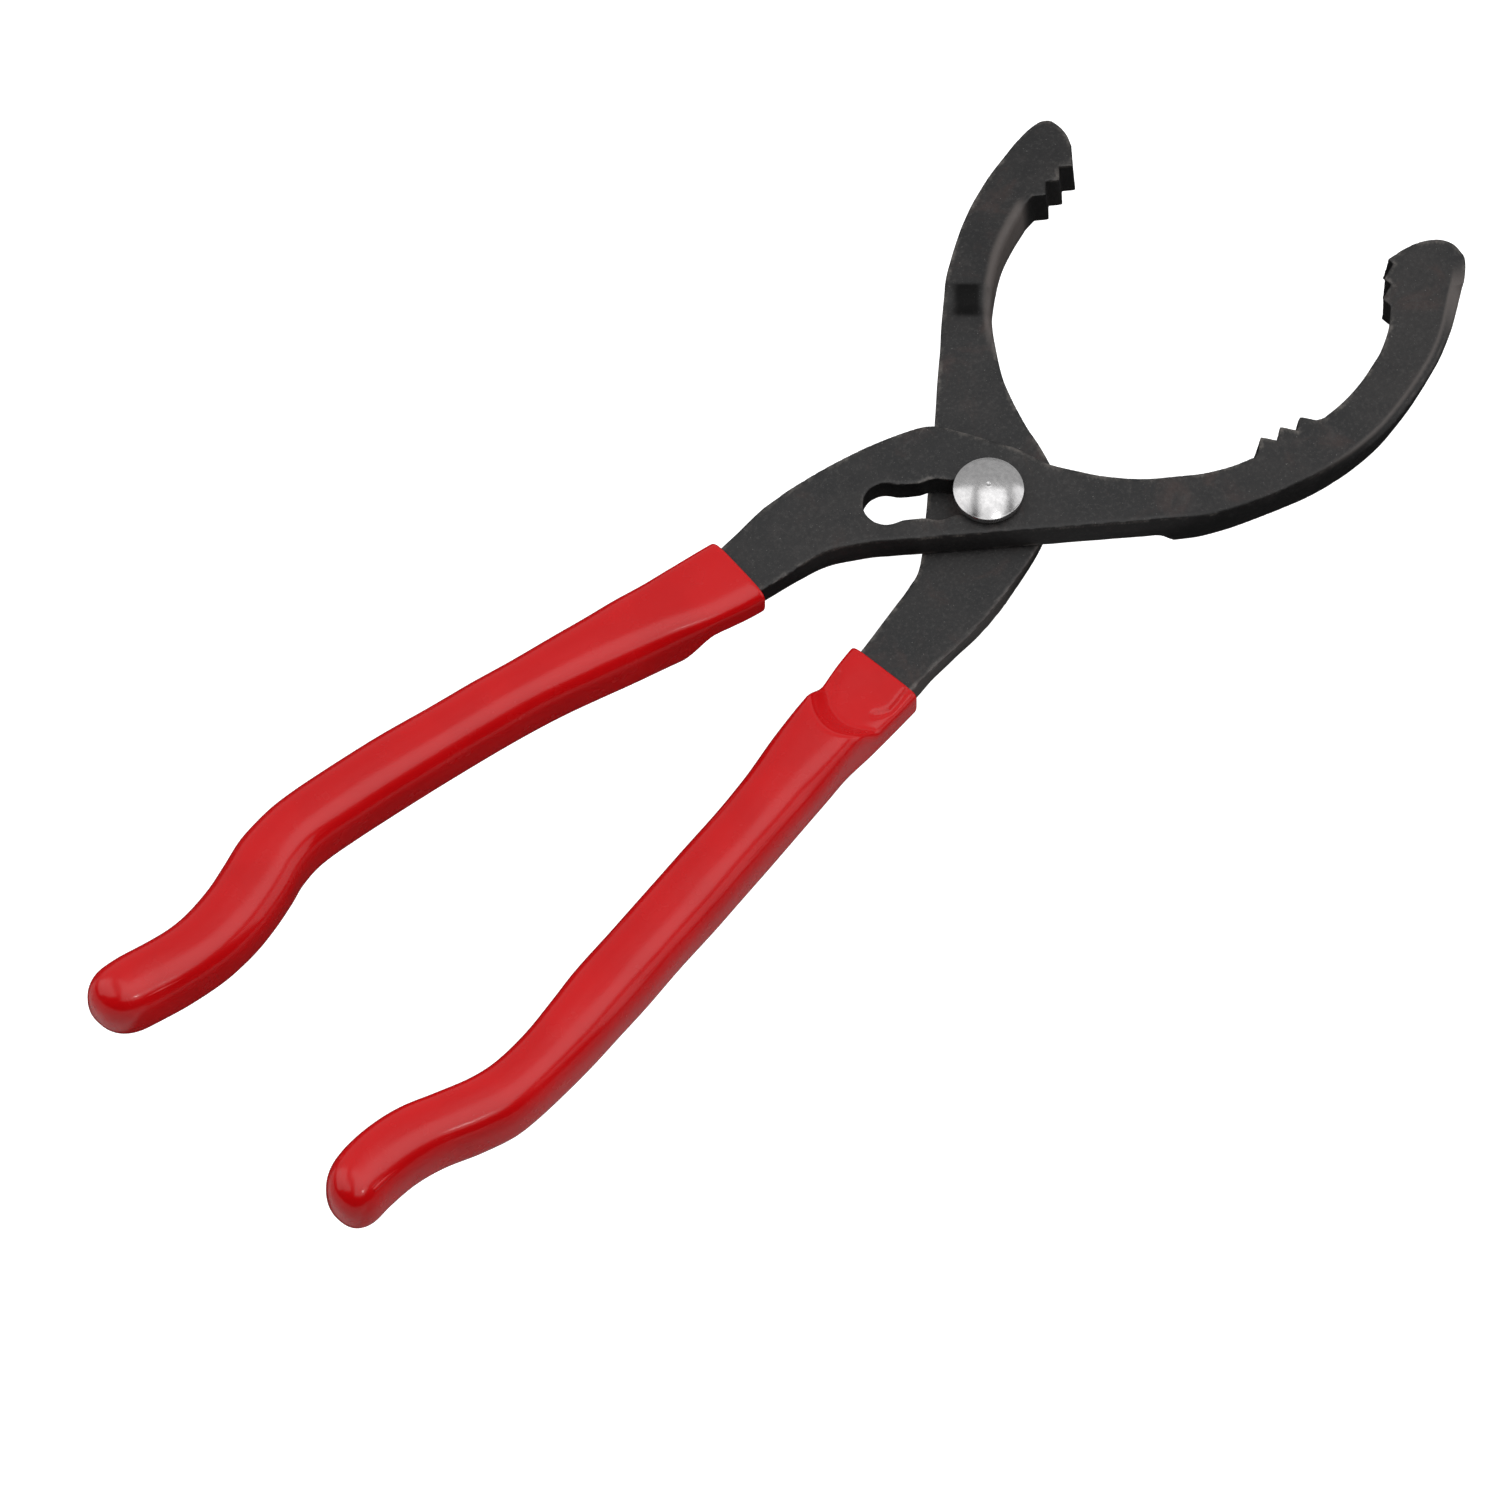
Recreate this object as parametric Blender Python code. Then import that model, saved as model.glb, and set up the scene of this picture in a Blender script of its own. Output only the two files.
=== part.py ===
"""Twelve-inch adjustable oil filter wrench of the pliers kind.

Two forged levers cross in a half-lap joint on a domed bolt. The bolt sits in a
three-place scalloped slot of the front lever, so the jaw size can be changed.
Both jaws are bent 15 degrees towards the nut side and carry saw teeth, and both
handles are dipped in red vinyl.

Frame: +X runs along the tool from the handles to the jaws, +Z runs along the
pivot axis towards the bolt's domed head, and the origin is the centre of the
flat crown of that head. "Front" is the head side (+Z), "rear" the nut side (-Z),
"upper" is +Y and "lower" is -Y. Lengths below are in millimetres, measured from
the pivot axis and from the mating plane of the half-lap; MM and MATING_Z take
them to metres in the tool's frame.
"""

import math
from types import SimpleNamespace

import bmesh
import bpy
import numpy as np

MM = 0.001
SHARP_DEG = 32.0         # edges sharper than this are shaded hard

# -------------------------------------------------------- shared dimensions
FULL = 12.0              # thickness of the steel in the handles
LAP = FULL / 2           # thickness of each lever where they cross
GAP = 0.3                # running gap between neighbouring pieces

# Jaws
BEND_DEG = 15.0          # bend of both jaws towards the nut side
BEND_RADIUS = 22.0       # radius of that bend at the mating plane
BEND_ARC = BEND_RADIUS * math.radians(BEND_DEG)
BEND_STEPS = 3
JAW_STEP = 2.6           # how far each jaw stands past the mating plane
TOOTH_DEPTH = 2.2
NOTCH_DEPTH = 1.6        # teeth near the tip of the front jaw
EDGE_STEPS = 2           # curve segments between measured outline points
CORE_STEP = 6.0          # aimed spacing of points along the steel cores

# Slot in the front lever
SLOT_AXIS_DEG = 140.3    # direction from the first to the last place
SLOT_PITCH = 10.3
SLOT_PLACES = 3
SCALLOP_R = 4.7
SCALLOP_STEPS = 8
NECK_HALF = 4.0          # half width of the necks between scallops

# Bolt
TURN_STEPS = 48          # points around the bolt, nut, flat washer and key
SHANK_R = 4.5
SHANK_FLAT_HALF = 3.75   # half the distance across the shank's two flats
SHANK_OVERRUN = 0.1      # how far the shank passes the rear lever
HEAD_R = 7.15
HEAD_RIM = 1.9           # height of the head's straight side
HEAD_DOME = 2.1
HEAD_EDGE = 0.35         # chamfer under the head
DOME_STEPS = 6
CROWN_R = 2.35
TAIL_R = 3.6             # round tail inside the washers and nut
TAIL_INSET = 0.2         # the tail starts to narrow this far inside the nut
STUB_DROP = 0.1          # and reaches the stub's radius this far outside it
STUB_R = 2.45
STUB_LENGTH = 2.1
STUB_EDGE = 0.3

# Washers and nut
WASHER_BORE_R = 8.2 / 2
FLAT_WASHER_R = 12.4 / 2
FLAT_WASHER_THICK = 0.7
LOCK_WASHER_R = 11.8 / 2
LOCK_WASHER_THICK = 1.2
LOCK_SPLIT_DEG = 9.0
LOCK_STEPS = 44
NUT_ACROSS_FLATS = 13.0
NUT_THICK = 3.5
NUT_CHAMFER = 0.55       # height of the turned corners on each face
NUT_BORE_R = TAIL_R + GAP

# Heights of the pivot stack
HEAD_SEAT = LAP + GAP
RIM_Z = HEAD_SEAT + HEAD_RIM
CROWN_Z = RIM_Z + HEAD_DOME
MATING_Z = -CROWN_Z      # mating plane in the tool's frame
WASHER_TOP = -LAP - GAP
WASHER_LOW = WASHER_TOP - FLAT_WASHER_THICK
LOCK_TOP = WASHER_LOW - GAP
LOCK_LOW = LOCK_TOP - LOCK_WASHER_THICK
NUT_TOP = LOCK_LOW - GAP
NUT_LOW = NUT_TOP - NUT_THICK

# Vinyl grips
WALL = 1.2               # vinyl over the flat faces of the handles
GRIP_CORNER = 3.4        # corner radius of the vinyl section
POCKET_CORNER = 0.5      # corner radius of the pocket around the steel
CORNER_STEPS = 4
RAMP_LEAD = 2.0          # the vinyl's ramp lies this far ahead of the steel's
RAMP_EASE = 1.0          # the skin's ramp is longer by this at each end
MOUTH_SETBACKS = (0.0, 1.2, 5.0)   # skin sections, measured from the mouth
MOUTH_LIP = 0.45         # inset of the skin at the mouth
SKIN_START = 4.0         # even skin sections start this far past the ramp
SKIN_STEPS = 19
CAP_LENGTH = 9.0         # length of the rounded end
CAP_DEGS = (25, 45, 62, 77, 90)
CAP_END_SCALE = 0.30     # size of the flat at the very end
POCKET_MOUTH = 3.0       # pocket section behind the mouth
POCKET_START = 2.0       # even pocket sections start this far past the ramp
POCKET_STEPS = 24

# ------------------------------------------------------------ lever outlines
# Handle stations: x, y of the centre line, half width of the steel core,
# half width of the vinyl.
CENTRE, STEEL_HALF, VINYL_HALF = 1, 2, 3
FRONT_HANDLE = [
    (-46.0, 23.4, 6.3, 8.3), (-52.0, 24.8, 6.3, 8.3), (-61.0, 27.3, 6.4, 8.1),
    (-68.0, 29.5, 6.4, 7.9), (-76.0, 31.6, 6.0, 7.5), (-84.0, 33.8, 5.6, 7.1),
    (-94.0, 36.5, 5.2, 6.7), (-104.0, 38.9, 5.2, 6.7), (-124.0, 43.1, 5.4, 6.9),
    (-140.0, 45.9, 5.4, 6.9), (-149.0, 47.0, 5.4, 6.9), (-155.0, 46.6, 5.6, 7.2),
    (-160.0, 45.5, 6.1, 7.7), (-166.0, 43.9, 6.1, 7.6), (-172.0, 42.7, 5.8, 7.3),
    (-179.0, 42.2, 5.5, 7.0), (-184.0, 42.5, 5.4, 6.9), (-190.0, 43.6, 5.4, 7.0),
    (-196.0, 45.1, 5.4, 7.1), (-201.0, 46.1, 4.8, 6.9), (-208.4, 47.0, 4.0, 6.4),
]
REAR_HANDLE = [
    (-40.0, -11.0, 6.8, 8.7), (-47.0, -11.8, 6.5, 8.4), (-55.0, -12.8, 6.2, 7.9),
    (-62.0, -13.6, 6.2, 7.7), (-70.0, -14.7, 6.2, 7.7), (-80.0, -16.3, 5.8, 7.3),
    (-101.0, -18.8, 5.7, 7.2), (-122.0, -21.0, 5.7, 7.2), (-134.0, -22.3, 5.7, 7.2),
    (-142.0, -23.4, 5.4, 6.9), (-151.0, -24.3, 5.0, 6.5), (-160.0, -24.5, 5.0, 6.5),
    (-166.0, -23.7, 5.2, 6.8), (-173.0, -21.3, 5.4, 7.0), (-180.0, -18.6, 5.4, 6.9),
    (-187.0, -17.1, 5.3, 6.8), (-194.0, -16.8, 5.3, 6.8), (-200.0, -17.6, 4.8, 6.6),
    (-206.6, -18.9, 4.0, 6.2),
]

# Plan outlines (x, y) between smooth curves' points, from handle to jaw tip;
# FRONT_TIP runs from the inner side of the jaw to the outer side.
FRONT_UPPER = [
    (-34.0, 30.0), (-26.0, 29.0), (-18.0, 27.3), (-10.0, 25.1), (-3.2, 22.5),
    (3.2, 18.8), (7.2, 12.0), (11.2, 3.5), (13.1, -3.2), (15.5, -7.9),
    (18.9, -13.4), (24.8, -20.4), (31.6, -25.2), (38.3, -28.2), (44.4, -30.1),
]
FRONT_JAW_INNER = [
    (62.2, -32.7), (68.1, -32.7), (73.8, -31.9), (80.8, -30.1), (84.6, -28.6),
    (88.4, -26.4), (91.7, -23.7),
]
FRONT_TIP = [
    (99.1, -15.8), (103.0, -16.5), (106.6, -17.3), (110.6, -19.3), (112.6, -21.6),
]
FRONT_LOWER = [
    (-39.0, 15.6), (-32.5, 13.3), (-26.0, 9.0), (-20.0, 4.0), (-11.4, -3.1),
    (-2.6, -10.5), (6.0, -17.7), (15.0, -25.2), (20.6, -29.8), (25.8, -33.2),
    (32.0, -35.9), (39.3, -38.3), (45.7, -40.0), (52.2, -41.5), (59.2, -42.6),
    (65.0, -42.9), (71.1, -42.7), (78.3, -41.6), (85.9, -39.8), (92.0, -37.8),
    (98.0, -35.1), (103.4, -31.9), (108.4, -28.3), (111.5, -25.4),
]
REAR_UPPER = [
    (-30.0, -2.3), (-24.0, -1.1), (-18.4, 1.0), (-6.9, 10.3), (6.0, 20.8),
    (13.0, 26.9), (19.9, 32.7), (24.4, 36.6), (29.3, 40.7), (34.6, 44.6),
    (42.1, 49.2), (49.4, 52.8), (57.5, 55.9), (65.2, 58.0), (71.1, 59.3),
    (74.6, 59.5), (76.5, 58.5), (77.0, 56.2), (76.5, 53.2), (75.3, 50.4),
]
REAR_LOWER = [
    (-33.0, -17.4), (-25.0, -17.5), (-18.0, -17.0), (-9.0, -15.6), (-1.5, -14.1),
    (5.0, -11.8), (11.0, -8.1), (15.0, -3.5), (17.2, 1.9), (18.9, 7.9),
    (21.3, 14.4), (24.6, 20.8), (31.2, 29.2), (36.9, 34.6), (44.5, 39.9),
    (51.0, 43.1), (57.0, 45.5),
]

# What differs between the two halves of the tool. Ramps are the (start, end)
# of the half-lap steps: handle_ramp in x, arm_ramp along the jaw arm, whose
# direction is arm_deg. The ramp and the bend of the arm are square to it.
FRONT = SimpleNamespace(
    side=1, stations=FRONT_HANDLE, core_end=-199.0, grip_mouth=-47.0, grip_end=-206.2,
    handle_ramp=(-62.0, -67.0), arm_deg=-45.7, arm_ramp=(33.5, 38.0), bend_at=34.0)
REAR = SimpleNamespace(
    side=-1, stations=REAR_HANDLE, core_end=-197.3, grip_mouth=-41.0, grip_end=-204.3,
    handle_ramp=(-57.0, -63.0), arm_deg=44.3, arm_ramp=(42.5, 46.5), bend_at=38.5)

# ------------------------------------------------------------------ finishes
BLACK_OXIDE = dict(colour=(0.040, 0.038, 0.037), roughness=0.48, metallic=0.75)
RED_VINYL = dict(colour=(0.540, 0.010, 0.014), roughness=0.30, metallic=0.0)
BRIGHT_STEEL = dict(colour=(0.560, 0.550, 0.530), roughness=0.16, metallic=1.0)
DARK_STEEL = dict(colour=(0.030, 0.029, 0.028), roughness=0.42, metallic=0.80)


def paint(obj, colour, roughness, metallic):
    material = bpy.data.materials.new(obj.name + "_finish")
    material.use_nodes = True
    inputs = material.node_tree.nodes["Principled BSDF"].inputs
    inputs["Base Color"].default_value = (*colour, 1.0)
    inputs["Roughness"].default_value = roughness
    inputs["Metallic"].default_value = metallic
    obj.data.materials.append(material)


# ---------------------------------------------------------- curves and points
def unit(deg):
    angle = math.radians(deg)
    return np.array((math.cos(angle), math.sin(angle)))


def spaced(start, end, steps):
    return [start + (end - start) * k / steps for k in range(steps + 1)]


def ramp(value, start, end):
    """0 before start, 1 past end and linear between them."""
    return min(1.0, max(0.0, (value - start) / (end - start)))


def station_value(x, stations, column):
    """Cubic Hermite curve through one column of a station table."""
    table = sorted(stations)
    xs = [row[0] for row in table]
    values = [row[column] for row in table]
    last = len(xs) - 1
    x = min(max(x, xs[0]), xs[-1])
    i = max(0, min(last - 1, int(np.searchsorted(xs, x)) - 1))

    def slope(k):
        before, after = max(k - 1, 0), min(k + 1, last)
        return (values[after] - values[before]) / (xs[after] - xs[before])

    span = xs[i + 1] - xs[i]
    t = (x - xs[i]) / span
    return ((2 * t**3 - 3 * t**2 + 1) * values[i]
            + (t**3 - 2 * t**2 + t) * span * slope(i)
            + (3 * t**2 - 2 * t**3) * values[i + 1]
            + (t**3 - t**2) * span * slope(i + 1))


def spline(points):
    """Points along a Catmull-Rom curve through the given points."""
    p = [np.array(point, float) for point in points]
    p = [2 * p[0] - p[1]] + p + [2 * p[-1] - p[-2]]
    curve = []
    for i in range(1, len(p) - 2):
        for k in range(EDGE_STEPS):
            t = k / EDGE_STEPS
            curve.append(0.5 * (2 * p[i] + (p[i + 1] - p[i - 1]) * t
                                + (2 * p[i - 1] - 5 * p[i] + 4 * p[i + 1] - p[i + 2]) * t**2
                                + (3 * p[i] - p[i - 1] - 3 * p[i + 1] + p[i + 2]) * t**3))
    curve.append(p[-2])
    return curve


def saw(start, end, count, depth, tip_direction, lean):
    """Saw teeth between two root points; lean places each tip along its pitch."""
    start = np.array(start)
    run = np.array(end) - start
    rise = np.array(tip_direction) * depth
    points = []
    for k in range(count):
        points.append(start + run * k / count)
        points.append(start + run * (k + lean) / count + rise)
    points.append(start + run)
    return points


def circle_ring(radius):
    return [radius * unit(360 * i / TURN_STEPS) for i in range(TURN_STEPS)]


def shank_ring(margin=0.0):
    """Round shank with two flats that lie along the slot."""
    points = []
    for i in range(TURN_STEPS):
        deg = 360 * i / TURN_STEPS
        across = abs(math.sin(math.radians(deg - SLOT_AXIS_DEG)))
        radius = min(SHANK_R + margin, (SHANK_FLAT_HALF + margin) / across)
        points.append(radius * unit(deg))
    return points


def hexagon_ring():
    """Hexagon of the nut, with a corner at 30 degrees from +X."""
    points = []
    for i in range(TURN_STEPS):
        deg = 360 * i / TURN_STEPS
        off_flat = math.radians((deg + 30) % 60 - 30)
        points.append(NUT_ACROSS_FLATS / 2 / math.cos(off_flat) * unit(deg))
    return points


def at_height(points, z):
    return [(x, y, z) for x, y in points]


# ---------------------------------------------------------------- mesh helpers
def solid(name, bm, finish=None):
    """Turn a bmesh in millimetres into an object in the tool's frame."""
    bmesh.ops.remove_doubles(bm, verts=bm.verts, dist=1e-5)
    bmesh.ops.recalc_face_normals(bm, faces=bm.faces)
    for v in bm.verts:
        v.co.x *= MM
        v.co.y *= MM
        v.co.z = (v.co.z + MATING_Z) * MM
    mesh = bpy.data.meshes.new(name)
    bm.to_mesh(mesh)
    bm.free()
    obj = bpy.data.objects.new(name, mesh)
    bpy.context.scene.collection.objects.link(obj)
    if finish:
        paint(obj, **finish)
    mesh.shade_smooth()
    mesh.set_sharp_from_angle(angle=math.radians(SHARP_DEG))
    return obj


def prism(outline, z_low, z_high):
    bm = bmesh.new()
    base = bm.faces.new([bm.verts.new(point) for point in at_height(outline, z_low)])
    made = bmesh.ops.extrude_face_region(bm, geom=[base])
    top = [item for item in made["geom"] if isinstance(item, bmesh.types.BMVert)]
    bmesh.ops.translate(bm, verts=top, vec=(0.0, 0.0, z_high - z_low))
    bmesh.ops.recalc_face_normals(bm, faces=bm.faces)
    return bm


def skin(rings, closed=False):
    """Join rings of equal point count; closed joins last to first, else both ends are capped."""
    bm = bmesh.new()
    rows = [[bm.verts.new(point) for point in ring] for ring in rings]
    pairs = list(zip(rows, rows[1:]))
    if closed:
        pairs.append((rows[-1], rows[0]))
    count = len(rows[0])
    for a, b in pairs:
        for i in range(count):
            j = (i + 1) % count
            bm.faces.new((a[i], a[j], b[j], b[i]))
    if not closed:
        bm.faces.new(rows[0])
        bm.faces.new(rows[-1][::-1])
    return bm


def split(bm, direction, distance):
    """Cut edges into the mesh along a plane square to the given direction."""
    bmesh.ops.bisect_plane(bm, geom=bm.verts[:] + bm.edges[:] + bm.faces[:], dist=1e-4,
                           plane_co=(*(direction * distance), 0.0),
                           plane_no=(*direction, 0.0))


def cut(target, cutter):
    cutter.display_type = 'WIRE'
    cutter.hide_render = True
    modifier = target.modifiers.new("cut_" + cutter.name, 'BOOLEAN')
    modifier.operation = 'DIFFERENCE'
    modifier.solver = 'EXACT'
    modifier.object = cutter


# --------------------------------------------------------------------- levers
def bend(along, z, start):
    """Bend about an axis below the mating plane; returns the new along and z."""
    if along <= start:
        return along, z
    angle = min(along - start, BEND_ARC) / BEND_RADIUS
    rest = max(along - start - BEND_ARC, 0.0)
    radius = BEND_RADIUS + z
    return (start + radius * math.sin(angle) + rest * math.cos(angle),
            -BEND_RADIUS + radius * math.cos(angle) - rest * math.sin(angle))


def core_edges(half):
    """Lower and upper edge of a steel handle core, from the joint to the end."""
    start = half.stations[0][0]
    steps = int(round((start - half.core_end) / CORE_STEP))
    lower, upper = [], []
    for x in spaced(start, half.core_end, steps):
        centre = station_value(x, half.stations, CENTRE)
        width = station_value(x, half.stations, STEEL_HALF)
        lower.append((x, centre - width))
        upper.append((x, centre + width))
    return lower, upper


def build_lever(name, half, lower_edge, jaw_face, upper_edge):
    """Forge one lever: full section at the handle, half section at
    the joint, and a jaw that stands a little past the mating plane."""
    lower_core, upper_core = core_edges(half)
    outline = (lower_core[::-1] + spline(lower_edge) + jaw_face
               + spline(upper_edge)[::-1] + upper_core)
    bm = prism(outline, -FULL / 2, FULL / 2)

    arm = unit(half.arm_deg)
    for at in half.arm_ramp:
        split(bm, arm, at)
    for at in half.handle_ramp:
        split(bm, np.array((-1.0, 0.0)), -at)
    for k in range(BEND_STEPS + 1):
        split(bm, arm, half.bend_at + BEND_ARC * k / BEND_STEPS)

    lap_z = half.side * GAP / 2
    for v in bm.verts:
        along = v.co.x * arm[0] + v.co.y * arm[1]
        if v.co.z * half.side < 0:
            v.co.z = (lap_z
                      + (-half.side * JAW_STEP - lap_z) * ramp(along, *half.arm_ramp)
                      + (-half.side * FULL / 2 - lap_z) * ramp(v.co.x, *half.handle_ramp))
        new_along, new_z = bend(along, v.co.z, half.bend_at)
        v.co.x += arm[0] * (new_along - along)
        v.co.y += arm[1] * (new_along - along)
        v.co.z = new_z
    return solid(name, bm, BLACK_OXIDE)


def slot_outline():
    """Scallops joined by necks, as one closed outline."""
    axis = unit(SLOT_AXIS_DEG)
    across = np.array((-axis[1], axis[0]))
    neck_angle = math.asin(NECK_HALF / SCALLOP_R)
    edges = []
    for sign in (1, -1):
        edge = []
        for k in range(SLOT_PLACES):
            start = math.pi - neck_angle if k else math.pi
            end = neck_angle if k < SLOT_PLACES - 1 else 0.0
            for angle in spaced(start, end, SCALLOP_STEPS):
                edge.append(axis * (k * SLOT_PITCH + SCALLOP_R * math.cos(angle))
                            + across * sign * SCALLOP_R * math.sin(angle))
        edges.append(edge)
    # both edges share their end points
    return edges[0] + edges[1][-2:0:-1]


def build_front_lever():
    teeth = saw((45.9, -29.6), (60.6, -32.1), count=3, depth=TOOTH_DEPTH,
                tip_direction=(0.0, 1.0), lean=0.53)
    notches = saw((91.9, -23.2), (99.1, -17.2), count=2, depth=NOTCH_DEPTH,
                  tip_direction=(-0.5, 0.86), lean=0.14)
    jaw_face = teeth + spline(FRONT_JAW_INNER) + notches + spline(FRONT_TIP)
    lever = build_lever("front_lever", FRONT, FRONT_LOWER, jaw_face[::-1], FRONT_UPPER)
    cut(lever, solid("slot_cutter", prism(slot_outline(), -LAP, 2 * LAP)))


def build_rear_lever():
    teeth = saw((60.2, 46.2), (74.6, 49.1), count=3, depth=TOOTH_DEPTH,
                tip_direction=(0.0, -1.0), lean=0.46)
    lever = build_lever("rear_lever", REAR, REAR_LOWER, teeth, REAR_UPPER)
    cut(lever, solid("key_cutter", prism(shank_ring(GAP), -2 * LAP, LAP)))


# ---------------------------------------------------------------------- grips
def rounded_box(half_y, low, high, radius):
    """Section in the Y-Z plane, about y = 0."""
    radius = min(radius, half_y * 0.95, (high - low) * 0.475)
    right, top, bottom = half_y - radius, high - radius, low + radius
    points = []
    for y, z, start in ((right, top, 0), (-right, top, 90),
                        (-right, bottom, 180), (right, bottom, 270)):
        for deg in spaced(start, start + 90, CORNER_STEPS):
            points.append(np.array((y, z)) + radius * unit(deg))
    return points


def grip_section(half, x, half_y, margin, corner, scale=1.0, lip=0.0):
    """Ring at x that clears the steel's flat faces by margin."""
    lap = GAP / 2 - margin
    full = ramp(x - RAMP_LEAD, *half.handle_ramp)
    near = lap + (-FULL / 2 - margin - lap) * full
    far = FULL / 2 + margin
    middle = half.side * (near + far) / 2
    half_z = (far - near) / 2 * scale - lip
    centre = station_value(x, half.stations, CENTRE)
    return [(x, centre + y, z) for y, z in
            rounded_box(half_y * scale - lip, middle - half_z, middle + half_z, corner)]


def build_grip(name, half):
    """Vinyl sleeve: outer skin, rounded end, and a pocket for the steel core."""
    mouth, end = half.grip_mouth, half.grip_end
    ramp_start, ramp_end = half.handle_ramp
    cap_start = end + CAP_LENGTH

    skin_xs = [mouth - setback for setback in MOUTH_SETBACKS]
    skin_xs += [ramp_start + RAMP_LEAD + RAMP_EASE, ramp_end + RAMP_LEAD - RAMP_EASE]
    skin_xs += spaced(ramp_end - SKIN_START, cap_start, SKIN_STEPS)
    skin_xs += [end + CAP_LENGTH * (1 - math.sin(math.radians(deg))) for deg in CAP_DEGS]
    outer = []
    for x in skin_xs:
        past = max(0.0, (cap_start - x) / CAP_LENGTH)
        roundness = math.sqrt(max(0.0, 1.0 - past * past))
        outer.append(grip_section(
            half, x, station_value(x, half.stations, VINYL_HALF), GAP + WALL, GRIP_CORNER,
            scale=CAP_END_SCALE + (1 - CAP_END_SCALE) * roundness,
            lip=MOUTH_LIP if x == mouth else 0.0))

    pocket_xs = [mouth, mouth - POCKET_MOUTH, ramp_start + RAMP_LEAD, ramp_end + RAMP_LEAD]
    pocket_xs += spaced(ramp_end - POCKET_START, half.core_end, POCKET_STEPS)
    pocket = [grip_section(half, x, station_value(x, half.stations, STEEL_HALF) + GAP,
                           GAP, POCKET_CORNER) for x in pocket_xs]
    # the pocket's bottom repeats the section at the core's end, a gap further on
    pocket.append([(x - GAP, y, z) for x, y, z in pocket[-1]])
    solid(name, skin(outer[::-1] + pocket), RED_VINYL)


# ------------------------------------------------------------------- fasteners
def build_bolt():
    levels = [(circle_ring(CROWN_R), CROWN_Z)]
    # the dome is a quarter ellipse from the flat crown to the rim
    for k in range(1, DOME_STEPS + 1):
        run, rise = unit(90.0 - 90.0 * k / DOME_STEPS)[::-1]
        run, rise = 1.0 * math.sin(math.pi / 2 * k / DOME_STEPS), run if False else rise
        levels.append((circle_ring(CROWN_R + (HEAD_R - CROWN_R) * run),
                       RIM_Z + HEAD_DOME * math.cos(math.pi / 2 * k / DOME_STEPS)))
    shank_end = -LAP - SHANK_OVERRUN
    stub_end = NUT_LOW - STUB_LENGTH
    levels += [
        (circle_ring(HEAD_R), HEAD_SEAT + HEAD_EDGE),
        (circle_ring(HEAD_R - HEAD_EDGE), HEAD_SEAT),
        (shank_ring(), HEAD_SEAT),
        (shank_ring(), shank_end),
        (circle_ring(TAIL_R), shank_end),
        (circle_ring(TAIL_R), NUT_LOW + TAIL_INSET),
        (circle_ring(STUB_R), NUT_LOW - STUB_DROP),
        (circle_ring(STUB_R), stub_end + STUB_EDGE),
        (circle_ring(STUB_R - STUB_EDGE), stub_end),
    ]
    solid("pivot_bolt", skin([at_height(*level) for level in levels]), BRIGHT_STEEL)


def build_washer(name, radius, top, low, steps, split_deg=0.0):
    """Square-section ring about the pivot axis, whole or split just below +X."""
    profile = [(radius, top), (radius, low), (WASHER_BORE_R, low), (WASHER_BORE_R, top)]
    degs = spaced(0.0, 360.0 - split_deg, steps)
    whole = split_deg == 0.0
    if whole:
        degs.pop()
    rings = [[(*(r * unit(deg)), z) for r, z in profile] for deg in degs]
    solid(name, skin(rings, closed=whole), DARK_STEEL)


def build_nut():
    """Hexagon nut with turned corners on both faces."""
    levels = [
        (circle_ring(NUT_ACROSS_FLATS / 2), NUT_TOP),
        (hexagon_ring(), NUT_TOP - NUT_CHAMFER),
        (hexagon_ring(), NUT_LOW + NUT_CHAMFER),
        (circle_ring(NUT_ACROSS_FLATS / 2), NUT_LOW),
        (circle_ring(NUT_BORE_R), NUT_LOW),
        (circle_ring(NUT_BORE_R), NUT_TOP),
    ]
    solid("pivot_nut", skin([at_height(*level) for level in levels], closed=True), DARK_STEEL)


for old in list(bpy.data.objects):
    bpy.data.objects.remove(old, do_unlink=True)
build_front_lever()
build_rear_lever()
build_grip("front_grip", FRONT)
build_grip("rear_grip", REAR)
build_bolt()
build_washer("flat_washer", FLAT_WASHER_R, WASHER_TOP, WASHER_LOW, TURN_STEPS)
build_washer("lock_washer", LOCK_WASHER_R, LOCK_TOP, LOCK_LOW, LOCK_STEPS, LOCK_SPLIT_DEG)
build_nut()
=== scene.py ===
"""Looks of the oil filter wrench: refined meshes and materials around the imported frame.

Two levers cross in a half-lap at the pivot. The handles run towards -x and the jaws lie
at +x; the front lever is the upper one (+z), with its handle at +y and its jaw at -y.
Shapes are worked out in millimetres about the pivot axis (z) and the mating plane of the
half-lap, as in the CAD, and come out in metres in the tool's frame.
"""

import math

import bmesh
import bpy
import numpy as np
from mathutils import Matrix, Vector


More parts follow.
